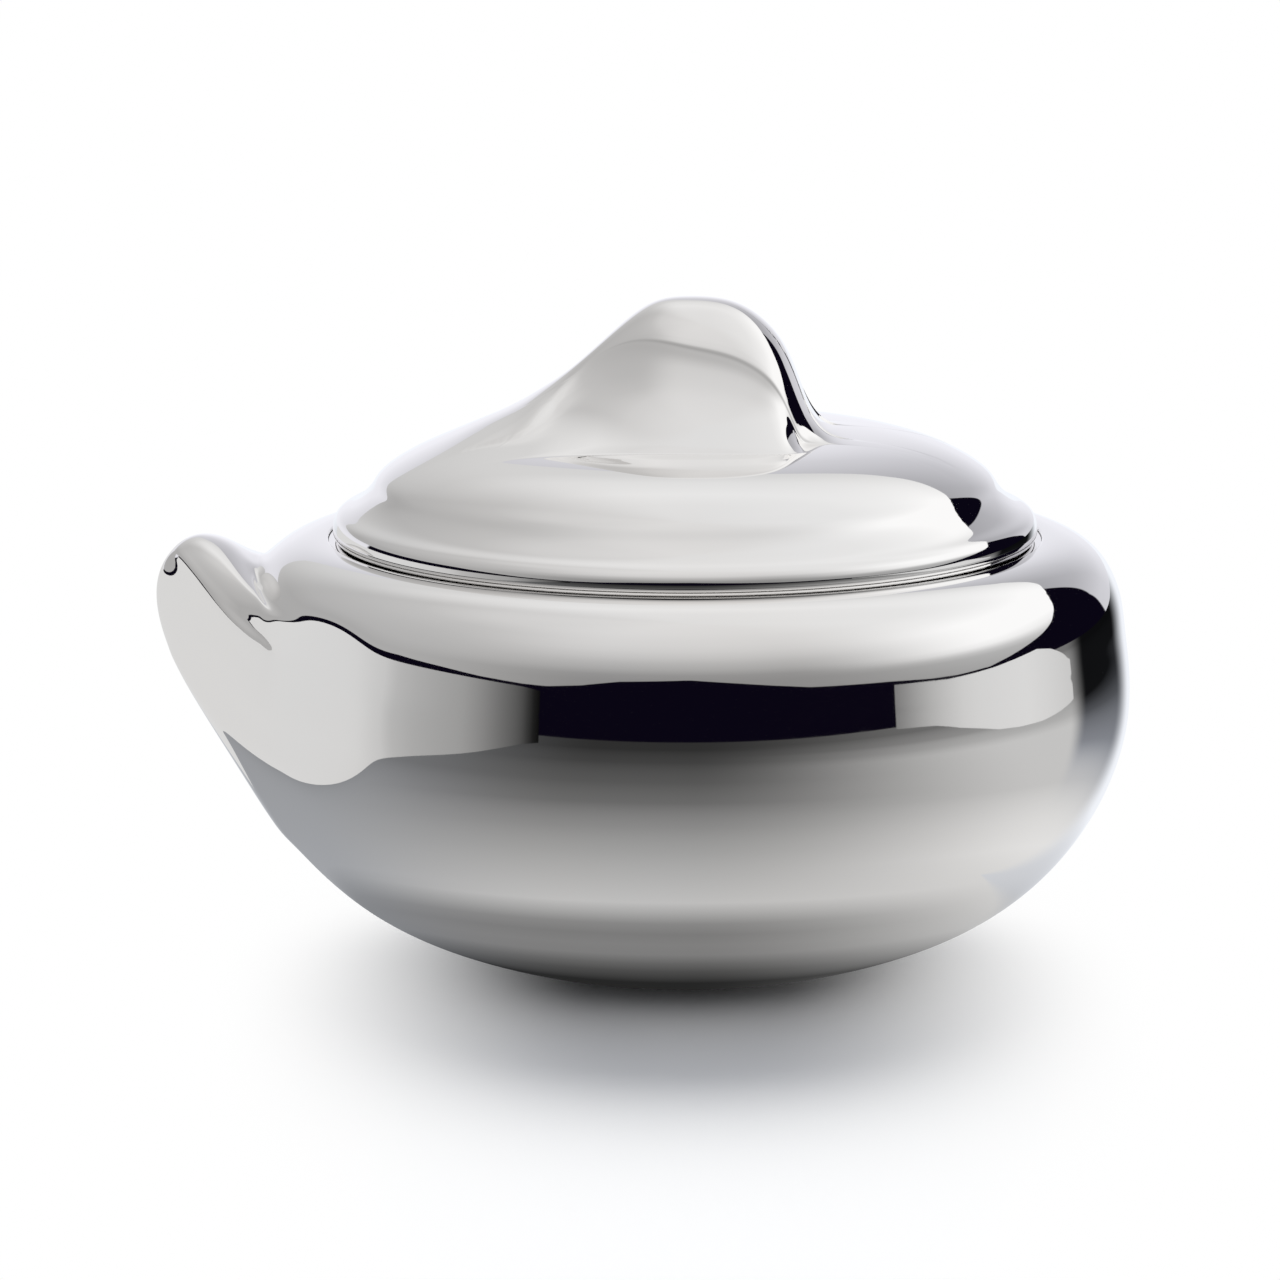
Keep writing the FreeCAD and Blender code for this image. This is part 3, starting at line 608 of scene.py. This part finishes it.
def spun_lines_group():
    """Metal finished on the lathe: fine rings round the Z axis, a mix of close and coarse ones, and a
    soft cloud."""
    found = bpy.data.node_groups.get("spun_lines")
    if found:
        return found
    tree, source, sink = new_group(
        "spun_lines",
        [("Vector", "NodeSocketVector", None), ("Light", "NodeSocketColor", (0.86, 0.85, 0.83, 1)),
         ("Dark", "NodeSocketColor", (0.74, 0.73, 0.71, 1)), ("Roughness", "NodeSocketFloat", 0.3)],
        [("Color", "NodeSocketColor"), ("Roughness", "NodeSocketFloat"), ("Height", "NodeSocketFloat")])
    parts = tree.nodes.new("ShaderNodeSeparateXYZ")
    tree.links.new(source.outputs["Vector"], parts.inputs[0])
    x, y, z = (Value(parts.outputs[i]) for i in range(3))
    radius = ((x * x) + (y * y)).math("SQRT")
    ring = tree.nodes.new("ShaderNodeCombineXYZ")
    put(tree, ring.inputs[0], radius)
    put(tree, ring.inputs[1], z)
    close = noise(tree, ring.outputs[0], CLOSE_RINGS, 2.0, 0.6)
    coarse = noise(tree, ring.outputs[0], COARSE_RINGS, 2.0, 0.5)
    cloud = noise(tree, source.outputs["Vector"], RING_CLOUD, 3.0, 0.5).smooth(*NOISE_MIDDLE)
    height = (close * 0.6) + (coarse * 0.4)
    shade = (coarse.smooth(*NOISE_MIDDLE) * 0.5) + (cloud * 0.5)
    colour = blend(tree, shade, source.outputs["Light"], source.outputs["Dark"])
    tree.links.new(colour, sink.inputs["Color"])
    rough = Value(source.outputs["Roughness"]) * ((close * 0.5) + (cloud * 0.3) + 0.6)
    put(tree, sink.inputs["Roughness"], rough)
    put(tree, sink.inputs["Height"], height)
    return tree


def new_material(name, kind="ShaderNodeBsdfPrincipled"):
    """Node material with one shader and its output; returns the material, tree and shader."""
    material = bpy.data.materials.new(name)
    material.use_nodes = True
    tree = material.node_tree
    tree.nodes.clear()
    shader = tree.nodes.new(kind)
    output = tree.nodes.new("ShaderNodeOutputMaterial")
    tree.links.new(shader.outputs[0], output.inputs["Surface"])
    return material, tree, shader


def effect(tree, shader, group, distance, settings):
    """Feeds a shader from a shared group at the object's own coordinates, with its height as bump."""
    place = tree.nodes.new("ShaderNodeTexCoord")
    node = tree.nodes.new("ShaderNodeGroup")
    node.node_tree = group
    tree.links.new(place.outputs["Object"], node.inputs["Vector"])
    for title, value in settings.items():
        node.inputs[title].default_value = value
    bump = tree.nodes.new("ShaderNodeBump")
    bump.inputs["Strength"].default_value = 1.0
    bump.inputs["Distance"].default_value = distance
    tree.links.new(node.outputs["Height"], bump.inputs["Height"])
    tree.links.new(node.outputs["Color"], shader.inputs["Base Color"])
    tree.links.new(node.outputs["Roughness"], shader.inputs["Roughness"])
    tree.links.new(bump.outputs["Normal"], shader.inputs["Normal"])


def polished_silver(finish):
    """Mirror-polished silver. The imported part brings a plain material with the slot's name, so this one
    has its own."""
    found = bpy.data.materials.get("hand_polished_silver")
    if found:
        return found
    material, tree, shader = new_material("hand_polished_silver")
    shader.inputs["Metallic"].default_value = 1.0
    effect(tree, shader, hand_polish_group(), finish.wave_height,
           {"Cool": finish.silver_cool, "Warm": finish.silver_warm, "Roughness": finish.silver_roughness})
    return material


def satin_silver(finish):
    """Satin silver, turned on the lathe, with a name of its own for the same reason."""
    found = bpy.data.materials.get("spun_satin_silver")
    if found:
        return found
    material, tree, shader = new_material("spun_satin_silver")
    shader.inputs["Metallic"].default_value = 1.0
    effect(tree, shader, spun_lines_group(), SATIN_DEPTH,
           {"Light": finish.satin_light, "Dark": finish.satin_dark, "Roughness": finish.satin_roughness})
    return material


def seat_silicone(finish):
    """Matt dark brown silicone with a fine moulded grain."""
    found = bpy.data.materials.get("seat_silicone")
    if found:
        return found
    material, tree, shader = new_material("seat_silicone")
    place = tree.nodes.new("ShaderNodeTexCoord")
    grain = noise(tree, place.outputs["Object"], GRAIN_SCALE, 3.0, 0.6)
    cloud = noise(tree, place.outputs["Object"], STAIN_SCALE, 2.0, 0.5)
    dark = [part * SILICONE_SHADE for part in finish.silicone[:3]] + [1.0]
    colour = blend(tree, cloud.smooth(*NOISE_MIDDLE), tuple(dark), tuple(finish.silicone))
    tree.links.new(colour, shader.inputs["Base Color"])
    put(tree, shader.inputs["Roughness"], (grain * 0.3) + 0.45)
    bump = tree.nodes.new("ShaderNodeBump")
    bump.inputs["Distance"].default_value = GRAIN_DEPTH
    put(tree, bump.inputs["Height"], grain)
    tree.links.new(bump.outputs["Normal"], shader.inputs["Normal"])
    return material


# Stage

def heading(tree, vector):
    """Azimuth (0 in front of the pot, positive to the right) and elevation in degrees, and the length on
    the floor."""
    parts = tree.nodes.new("ShaderNodeSeparateXYZ")
    tree.links.new(vector, parts.inputs[0])
    x, y, z = (Value(parts.outputs[i]) for i in range(3))
    azimuth = x.math("ARCTAN2", y * -1.0) * DEGREES
    elevation = z.math("ARCSINE") * DEGREES
    flat = ((x * x) + (y * y)).math("SQRT")
    return azimuth, elevation, flat


def by_ray(tree, path, mixed, seen_share, matt, white, mirror):
    """Mix by kind of ray: mirrors get the mirror shader, and other rays the matt one with a share of
    plain white."""
    seen = tree.nodes.new("ShaderNodeMixShader")
    put(tree, seen.inputs[0], seen_share)
    tree.links.new(matt.outputs[0], seen.inputs[1])
    tree.links.new(white.outputs[0], seen.inputs[2])
    tree.links.new(path.outputs["Is Glossy Ray"], mixed.inputs[0])
    tree.links.new(seen.outputs[0], mixed.inputs[1])
    tree.links.new(mirror.outputs[0], mixed.inputs[2])


def lamp_level(tree, vector):
    """Light on matt surfaces: a low even fill, slightly cool, plus one soft box high behind the pot.
    Over the whole sky it comes to the same light on the open table as an even sky of level 1."""
    node = tree.nodes.new("ShaderNodeVectorMath")
    node.operation = "DOT_PRODUCT"
    tree.links.new(vector, node.inputs[0])
    node.inputs[1].default_value = LAMP_WAY
    lamp = Value(node.outputs["Value"]).smooth(*LAMP_SPREAD)
    return blend(tree, lamp, FILL_COLOUR, LAMP_COLOUR)


def studio_world():
    """Studio. The camera sees plain white and matt surfaces get the soft box and its fill. Mirrors see a
    diffuser overhead that is dim low in front and bright on the right; under its edge there is the dark
    room in front and a white backdrop behind."""
    world = bpy.data.worlds.new("studio")
    world.use_nodes = True
    bpy.context.scene.world = world
    world.cycles.sampling_method = "NONE"
    tree = world.node_tree
    tree.nodes.clear()
    place = tree.nodes.new("ShaderNodeTexCoord")
    azimuth, elevation, _ = heading(tree, place.outputs["Generated"])
    front, left = elevation.ramp(SKY_FRONT, SKY_WARM), elevation.ramp(SKY_LEFT, SKY_WARM)
    right, rear = elevation.ramp(SKY_RIGHT, SKY_PLAIN), elevation.ramp(SKY_REAR, SKY_PLAIN)
    colour = blend(tree, azimuth.smooth(*SKY_RIGHT_TURN), front, right)
    colour = blend(tree, (azimuth * -1.0).smooth(*SKY_LEFT_TURN), colour, left)
    colour = blend(tree, azimuth.math("ABSOLUTE").smooth(*SKY_REAR_TURN), colour, rear)
    screen = elevation.ramp(BACKDROP_RISE, SKY_COLD)
    screen = blend(tree, 1.0, screen, azimuth.ramp(BACKDROP_TURN), "MULTIPLY")
    lean = elevation.math("MINIMUM", LEAN_TOP) * BACKDROP_LEAN
    behind = azimuth.smooth(*BACKDROP_LEFT).flipped() + (azimuth + lean).smooth(*BACKDROP_RIGHT)
    below = blend(tree, behind, DARK_ROOM, screen)
    edge = azimuth.ramp([(turn, rise / EDGE_SCALE) for turn, rise in DIFFUSER_EDGE])
    under = (elevation - Value(edge) * EDGE_SCALE).smooth(-EDGE_SOFT, EDGE_SOFT).flipped()
    soft, white, mirror = (tree.nodes.new("ShaderNodeBackground") for _ in range(3))
    tree.links.new(lamp_level(tree, place.outputs["Generated"]), soft.inputs["Color"])
    white.inputs["Color"].default_value = WHITE
    tree.links.new(blend(tree, under, colour, below), mirror.inputs["Color"])
    path = tree.nodes.new("ShaderNodeLightPath")
    mixed = tree.nodes.new("ShaderNodeMixShader")
    output = tree.nodes.new("ShaderNodeOutputWorld")
    by_ray(tree, path, mixed, Value(path.outputs["Is Camera Ray"]), soft, white, mirror)
    tree.links.new(mixed.outputs[0], output.inputs["Surface"])


def floor_material():
    """Table with painted light. Mirrors see a glow in its place, with a painted shadow of the pot dark round
    its foot, painted light that fades to dark towards the room in front and on the far right and stays light
    behind, and a painted reflection of the dark gap beside the right card. Seen directly it is matt near the
    pot, where it keeps the real shadow, and a plain white glow further away, which as painted light also
    lightens that shadow at the sides."""
    material, tree, mixed = new_material("table_painted_light", "ShaderNodeMixShader")
    place = tree.nodes.new("ShaderNodeTexCoord")
    azimuth, _, flat = heading(tree, place.outputs["Object"])
    aside = tree.nodes.new("ShaderNodeVectorMath")
    aside.operation = "SUBTRACT"
    aside.inputs[1].default_value = STRIP_POINT
    tree.links.new(place.outputs["Object"], aside.inputs[0])
    bearing, _, reach = heading(tree, aside.outputs["Vector"])
    # Painted light and a painted shadow of the pot: glow levels by distance from the axis on each side.
    front, right = flat.ramp(TABLE_FRONT), flat.ramp(TABLE_RIGHT)
    left, back = flat.ramp(TABLE_LEFT, TABLE_COOL), flat.ramp(TABLE_BACK, TABLE_COOL)
    colour = blend(tree, azimuth.smooth(*TABLE_RIGHT_TURN), front, right)
    colour = blend(tree, (azimuth * -1.0).smooth(*TABLE_LEFT_TURN), colour, left)
    # Painted reflection: the dark strip of the room's gap, laid into the table's glow.
    strip = bearing.smooth(*STRIP_START) * reach.smooth(*STRIP_REACH)
    colour = blend(tree, strip, colour, reach.ramp(PAINTED_GAP_LEVELS, TABLE_COLD))
    behind = bearing.smooth(*STRIP_END)
    for other in (bearing.smooth(*STRIP_BEHIND).flipped(), azimuth.smooth(*TABLE_BACK_RIGHT),
                  (azimuth * -1.0).smooth(*TABLE_BACK_LEFT)):
        behind = behind.math("MAXIMUM", other)
    glow, white = (tree.nodes.new("ShaderNodeEmission") for _ in range(2))
    tree.links.new(blend(tree, behind, colour, back), glow.inputs["Color"])
    white.inputs["Color"].default_value = WHITE
    matt = tree.nodes.new("ShaderNodeBsdfDiffuse")
    matt.inputs["Color"].default_value = WHITE
    path = tree.nodes.new("ShaderNodeLightPath")
    parts = tree.nodes.new("ShaderNodeSeparateXYZ")
    tree.links.new(place.outputs["Object"], parts.inputs[0])
    # Painted light: the share of white glow grows with an oval distance from the axis, so it lightens the
    # real shadow at the sides.
    across, along, start, end = WHITE_GLOW_BOUNDS
    x, y = Value(parts.outputs[0]) * across, Value(parts.outputs[1]) * along
    away = ((x * x) + (y * y)).math("SQRT").smooth(start, end)
    by_ray(tree, path, mixed, away * Value(path.outputs["Is Camera Ray"]), matt, white, glow)
    return material


def card(name, points, levels):
    """Lit card standing on the table along a line of floor points, each raised to its height. Its level
    follows the azimuth of each point, and only mirrors see it."""
    material, tree, glow = new_material(name, "ShaderNodeEmission")
    place = tree.nodes.new("ShaderNodeTexCoord")
    azimuth, _, _ = heading(tree, place.outputs["Object"])
    tree.links.new(azimuth.ramp(levels), glow.inputs["Color"])
    high = np.array(points, float)
    low = high * np.array([1, 1, 0])
    index = np.arange(len(high) - 1)
    faces = np.stack([index, index + 1, index + 1 + len(high), index + len(high)], -1)
    mesh = bpy.data.meshes.new(name)
    mesh.from_pydata(np.vstack([low, high]).tolist(), [], faces.tolist())
    mesh.materials.append(material)
    piece = bpy.data.objects.new(name, mesh)
    bpy.context.scene.collection.objects.link(piece)
    piece.visible_camera = False
    piece.visible_diffuse = False
    piece.visible_shadow = False


# Add-on

class PotSizes(bpy.types.PropertyGroup):
    """Sizes of the pot's skin, wing and base, in millimetres."""
    gauge: bpy.props.FloatProperty(
        name="Gauge", description="Thickness of the skin in millimetres", default=1.0, min=0.3, max=3)
    lip_round: bpy.props.FloatProperty(
        name="Lip round", description="Roundness of the mouth's edge in millimetres", default=0.4, min=0.1,
        max=0.8)
    wing_slope: bpy.props.FloatProperty(
        name="Wing slope", description="Fall of the wing's flank per millimetre sideways", default=0.7,
        min=0.3, max=2)
    wing_edge: bpy.props.FloatProperty(
        name="Wing edge", description="Roundness of the wing's leading edge in millimetres", default=3.5,
        min=0.5, max=6)
    nose_width: bpy.props.FloatProperty(
        name="Nose width", description="Half width of the round nose under the wing in millimetres",
        default=42.0, min=20, max=60)
    roof_width: bpy.props.FloatProperty(
        name="Roof width", description="Half width of the round roof on top of the wing in millimetres",
        default=26.0, min=10, max=60)
    saddle_width: bpy.props.FloatProperty(
        name="Saddle width",
        description="Half width of the saddle between the wing and the shoulder in millimetres",
        default=13.0, min=5, max=60)
    roof_turn: bpy.props.FloatProperty(
        name="Roof turn", description="Share of the crest over which the nose becomes the roof",
        subtype="FACTOR", default=0.12, min=0.02, max=0.5)
    dish_depth: bpy.props.FloatProperty(
        name="Dish depth", description="Depth of the finger dish beside the wing in millimetres",
        default=3.3, min=0, max=6)
    dish_top: bpy.props.FloatProperty(
        name="Dish top", description="Height above which the flank stands straight, in millimetres",
        default=78.0, min=60, max=90)
    dish_round: bpy.props.FloatProperty(
        name="Dish round", description="Roundness of the dish's edge in millimetres", default=0.8, min=0.1,
        max=4)
    plate_radius: bpy.props.FloatProperty(
        name="Base radius", description="Radius of the base plate in millimetres", default=33.9, min=20,
        max=34)
    plate_thick: bpy.props.FloatProperty(
        name="Base thickness", description="Thickness of the base plate in millimetres", default=1.6,
        min=0.5, max=4)
    vent_radius: bpy.props.FloatProperty(
        name="Vent radius", description="Radius of the vent hole in millimetres", default=2.5, min=1, max=5)
    vent_offset: bpy.props.FloatProperty(
        name="Vent offset", description="Distance of the vent from the axis in millimetres", default=18.0,
        min=5, max=28)


class PotFinish(bpy.types.PropertyGroup):
    """Colours and finishes."""
    silver_cool: bpy.props.FloatVectorProperty(
        name="Silver, cool", description="Cooler end of the polished silver's colour", subtype="COLOR",
        size=4, min=0, max=1, default=(0.94, 0.934, 0.928, 1))
    silver_warm: bpy.props.FloatVectorProperty(
        name="Silver, warm", description="Warmer end of the polished silver's colour", subtype="COLOR",
        size=4, min=0, max=1, default=(0.94, 0.927, 0.913, 1))
    silver_roughness: bpy.props.FloatProperty(
        name="Polish", description="Roughness of the polished silver", subtype="FACTOR", default=0.03,
        min=0, max=1)
    wave_height: bpy.props.FloatProperty(
        name="Wave height", description="Height of the slow waves left by the hammer", subtype="DISTANCE",
        unit="LENGTH", default=0.00003, min=0, max=0.002, precision=6)
    satin_light: bpy.props.FloatVectorProperty(
        name="Satin, light", description="Lighter end of the satin silver's colour", subtype="COLOR",
        size=4, min=0, max=1, default=(0.90, 0.89, 0.87, 1))
    satin_dark: bpy.props.FloatVectorProperty(
        name="Satin, dark", description="Darker end of the satin silver's colour", subtype="COLOR", size=4,
        min=0, max=1, default=(0.78, 0.77, 0.75, 1))
    satin_roughness: bpy.props.FloatProperty(
        name="Satin", description="Roughness of the satin silver", subtype="FACTOR", default=0.3, min=0,
        max=1)
    silicone: bpy.props.FloatVectorProperty(
        name="Silicone", description="Colour of the seat ring", subtype="COLOR", size=4, min=0, max=1,
        default=(0.022, 0.013, 0.010, 1))


class PotView(bpy.types.PropertyGroup):
    """Camera of the still life."""
    lens: bpy.props.FloatProperty(
        name="Lens", description="Focal length", subtype="DISTANCE_CAMERA", default=295.8, min=50, max=600)
    distance: bpy.props.FloatProperty(
        name="Distance", description="Camera to the point it looks at", subtype="DISTANCE", unit="LENGTH",
        default=2.6, min=0.5, max=10)
    elevation: bpy.props.FloatProperty(
        name="Elevation", description="Angle of the view above the table", subtype="ANGLE", unit="ROTATION",
        default=0.17977, min=0, max=1.5)
    aim: bpy.props.FloatVectorProperty(
        name="Aim", description="Point at the middle of the picture", subtype="TRANSLATION", unit="LENGTH",
        default=(-0.0111, 0.0, 0.0805))


class POT_OT_wall(bpy.types.Operator):
    """Outer wall with the wing drawn out of it"""
    bl_idname = "serving_pot.wall"
    bl_label = "Outer Wall and Wing"

    def execute(self, context):
        silver = polished_silver(context.scene.pot_finish)
        surface("pot_wall", wall_rows(context.scene.pot_sizes), silver, "pot",
                ["bowl_skin", "shoulder_skin", "wing_front", "wing_rear"])
        return {"FINISHED"}


class POT_OT_base(bpy.types.Operator):
    """Base plate and the plug in its vent"""
    bl_idname = "serving_pot.base"
    bl_label = "Base Plate and Vent Plug"

    def execute(self, context):
        sizes, satin = context.scene.pot_sizes, satin_silver(context.scene.pot_finish)
        surface("base_disc", plate_rows(sizes), satin, "pot", ["base_plate"])
        radius, thick = sizes.vent_radius - PLUG_PLAY, sizes.plate_thick
        middle, *dimple = np.array(PLUG_DIMPLE) * [radius, 1]
        eased_radius, cut_radius = radius - PLUG_EASE, radius - PLUG_CUT
        profile = np.vstack([dimple, [(cut_radius, 0), (eased_radius, PLUG_EASE), (radius, PLUG_CUT),
                                      (radius, thick - PLUG_CUT), (eased_radius, thick - PLUG_EASE),
                                      (cut_radius, thick)]])
        centre = np.array([[sizes.vent_offset, 0, 0]])
        rows = turned(profile, PLUG_AROUND) + centre
        surface("vent_stopper", rows, satin, "pot", ["vent_plug"], wrap=False,
                tip=centre + [0, 0, middle[1]], tail=centre + [0, 0, thick])
        return {"FINISHED"}


class POT_OT_liner(bpy.types.Operator):
    """Inner bowl, spun in satin silver"""
    bl_idname = "serving_pot.liner"
    bl_label = "Inner Bowl"

    def execute(self, context):
        gauge = context.scene.pot_sizes.gauge
        outer = spline(LINER_POLES, np.linspace(0, 1, LINER_STEPS))
        inner = offset(outer, gauge)[::-1]
        profile = np.vstack([outer[1:-1], LINER_LIP, inner[1:-1]])
        surface("inner_bowl", turned(profile, AROUND), satin_silver(context.scene.pot_finish), "pot",
                ["liner_floor", "liner_wall", "liner_neck"], wrap=False,
                tip=np.array([[0, 0, outer[0, 1]]]), tail=np.array([[0, 0, outer[0, 1] + gauge]]))
        return {"FINISHED"}


class POT_OT_mouth(bpy.types.Operator):
    """Turned collar at the mouth and the seat ring in its groove"""
    bl_idname = "serving_pot.mouth"
    bl_label = "Collar and Seat Ring"

    def execute(self, context):
        finish = context.scene.pot_finish
        collar, seat = eased(COLLAR, COLLAR_EASE), eased(SEAT, SEAT_EASE, 6)
        surface("mouth_collar", turned(collar, COLLAR_AROUND), polished_silver(finish), "pot",
                ["rim_collar"])
        surface("seat_band", turned(seat, AROUND), seat_silicone(finish), "seat",
                ["seat_ring"])
        return {"FINISHED"}


class POT_OT_lid(bpy.types.Operator):
    """Lid with the pinched grip and the rounded rim"""
    bl_idname = "serving_pot.lid"
    bl_label = "Lid and Grip"

    def execute(self, context):
        rows, tip, tail = lid_rows()
        surface("lid_shell", rows, polished_silver(context.scene.pot_finish), "lid",
                ["lid_rim", "lid_shoulder", "lid_top_front", "lid_top_rear"],
                wrap=False, tip=tip, tail=tail)
        return {"FINISHED"}


class POT_OT_lid_inside(bpy.types.Operator):
    """Pan and centring flange under the lid"""
    bl_idname = "serving_pot.lid_inside"
    bl_label = "Lid Pan and Flange"

    def execute(self, context):
        satin = satin_silver(context.scene.pot_finish)
        u = np.linspace(0, 1, PAN_STEPS)[:, None]
        poles = np.array(PAN_POLES, float)
        weights = np.hstack([(1 - u) ** 3, 3 * u * (1 - u) ** 2, 3 * u ** 2 * (1 - u), u ** 3])
        lower = weights @ poles
        upper = (lower + np.array([0, PAN_GAUGE]))[::-1]
        profile = np.vstack([lower[1:-1], PAN_EDGE, upper[1:-1]])
        surface("lid_plate", turned(profile, AROUND), satin, "lid", ["lid_pan"], wrap=False,
                tip=np.array([[0, 0, poles[0, 1]]]), tail=np.array([[0, 0, poles[0, 1] + PAN_GAUGE]]))
        surface("lid_skirt", turned(eased(FLANGE, FLANGE_EASE), AROUND), satin, "lid",
                ["lid_flange"])
        return {"FINISHED"}


class POT_OT_stage(bpy.types.Operator):
    """Table with painted light and painted shadow, studio light and camera"""
    bl_idname = "serving_pot.stage"
    bl_label = "Stage"

    def execute(self, context):
        view = context.scene.pot_view
        context.scene.view_settings.view_transform = "Standard"
        studio_world()
        corners = [(x * TABLE_HALF, y * TABLE_HALF, 0) for x, y in ((-1, -1), (1, -1), (1, 1), (-1, 1))]
        table = bpy.data.meshes.new("table")
        table.from_pydata(corners, [], [(0, 1, 2, 3)])
        table.materials.append(floor_material())
        floor = bpy.data.objects.new("table", table)
        context.scene.collection.objects.link(floor)
        card("left_card", LEFT_CARD, LEFT_CARD_LEVELS)
        card("right_card", RIGHT_CARD, RIGHT_CARD_LEVELS)
        data = bpy.data.cameras.new("camera")
        data.lens = view.lens
        data.sensor_width = SENSOR_WIDTH
        camera = bpy.data.objects.new("camera", data)
        context.scene.collection.objects.link(camera)
        back = Vector((0, -np.cos(view.elevation), np.sin(view.elevation)))
        camera.location = Vector(view.aim) + back * view.distance
        camera.rotation_euler = (-back).to_track_quat("-Z", "Y").to_euler()
        context.scene.camera = camera
        return {"FINISHED"}


class POT_PT_panel(bpy.types.Panel):
    """Lists the pieces, the sizes and the finishes"""
    bl_idname = "POT_PT_panel"
    bl_label = "Covered Serving Pot"
    bl_space_type = "VIEW_3D"
    bl_region_type = "UI"
    bl_category = "Serving Pot"

    def draw(self, context):
        for operator in PIECES:
            self.layout.operator(operator.bl_idname)
        for group in (context.scene.pot_sizes, context.scene.pot_finish, context.scene.pot_view):
            box = self.layout.box()
            for name in group.__annotations__:
                box.prop(group, name)


PIECES = (POT_OT_wall, POT_OT_base, POT_OT_liner, POT_OT_mouth, POT_OT_lid, POT_OT_lid_inside, POT_OT_stage)
CLASSES = (PotSizes, PotFinish, PotView) + PIECES + (POT_PT_panel,)


def register():
    for cls in CLASSES:
        bpy.utils.register_class(cls)
    bpy.types.Scene.pot_sizes = bpy.props.PointerProperty(type=PotSizes)
    bpy.types.Scene.pot_finish = bpy.props.PointerProperty(type=PotFinish)
    bpy.types.Scene.pot_view = bpy.props.PointerProperty(type=PotView)


def unregister():
    del bpy.types.Scene.pot_view
    del bpy.types.Scene.pot_finish
    del bpy.types.Scene.pot_sizes
    for cls in reversed(CLASSES):
        bpy.utils.unregister_class(cls)


def main():
    register()
    bpy.ops.serving_pot.wall()
    bpy.ops.serving_pot.base()
    bpy.ops.serving_pot.liner()
    bpy.ops.serving_pot.mouth()
    bpy.ops.serving_pot.lid()
    bpy.ops.serving_pot.lid_inside()
    bpy.ops.serving_pot.stage()


if __name__ == "__main__":
    main()
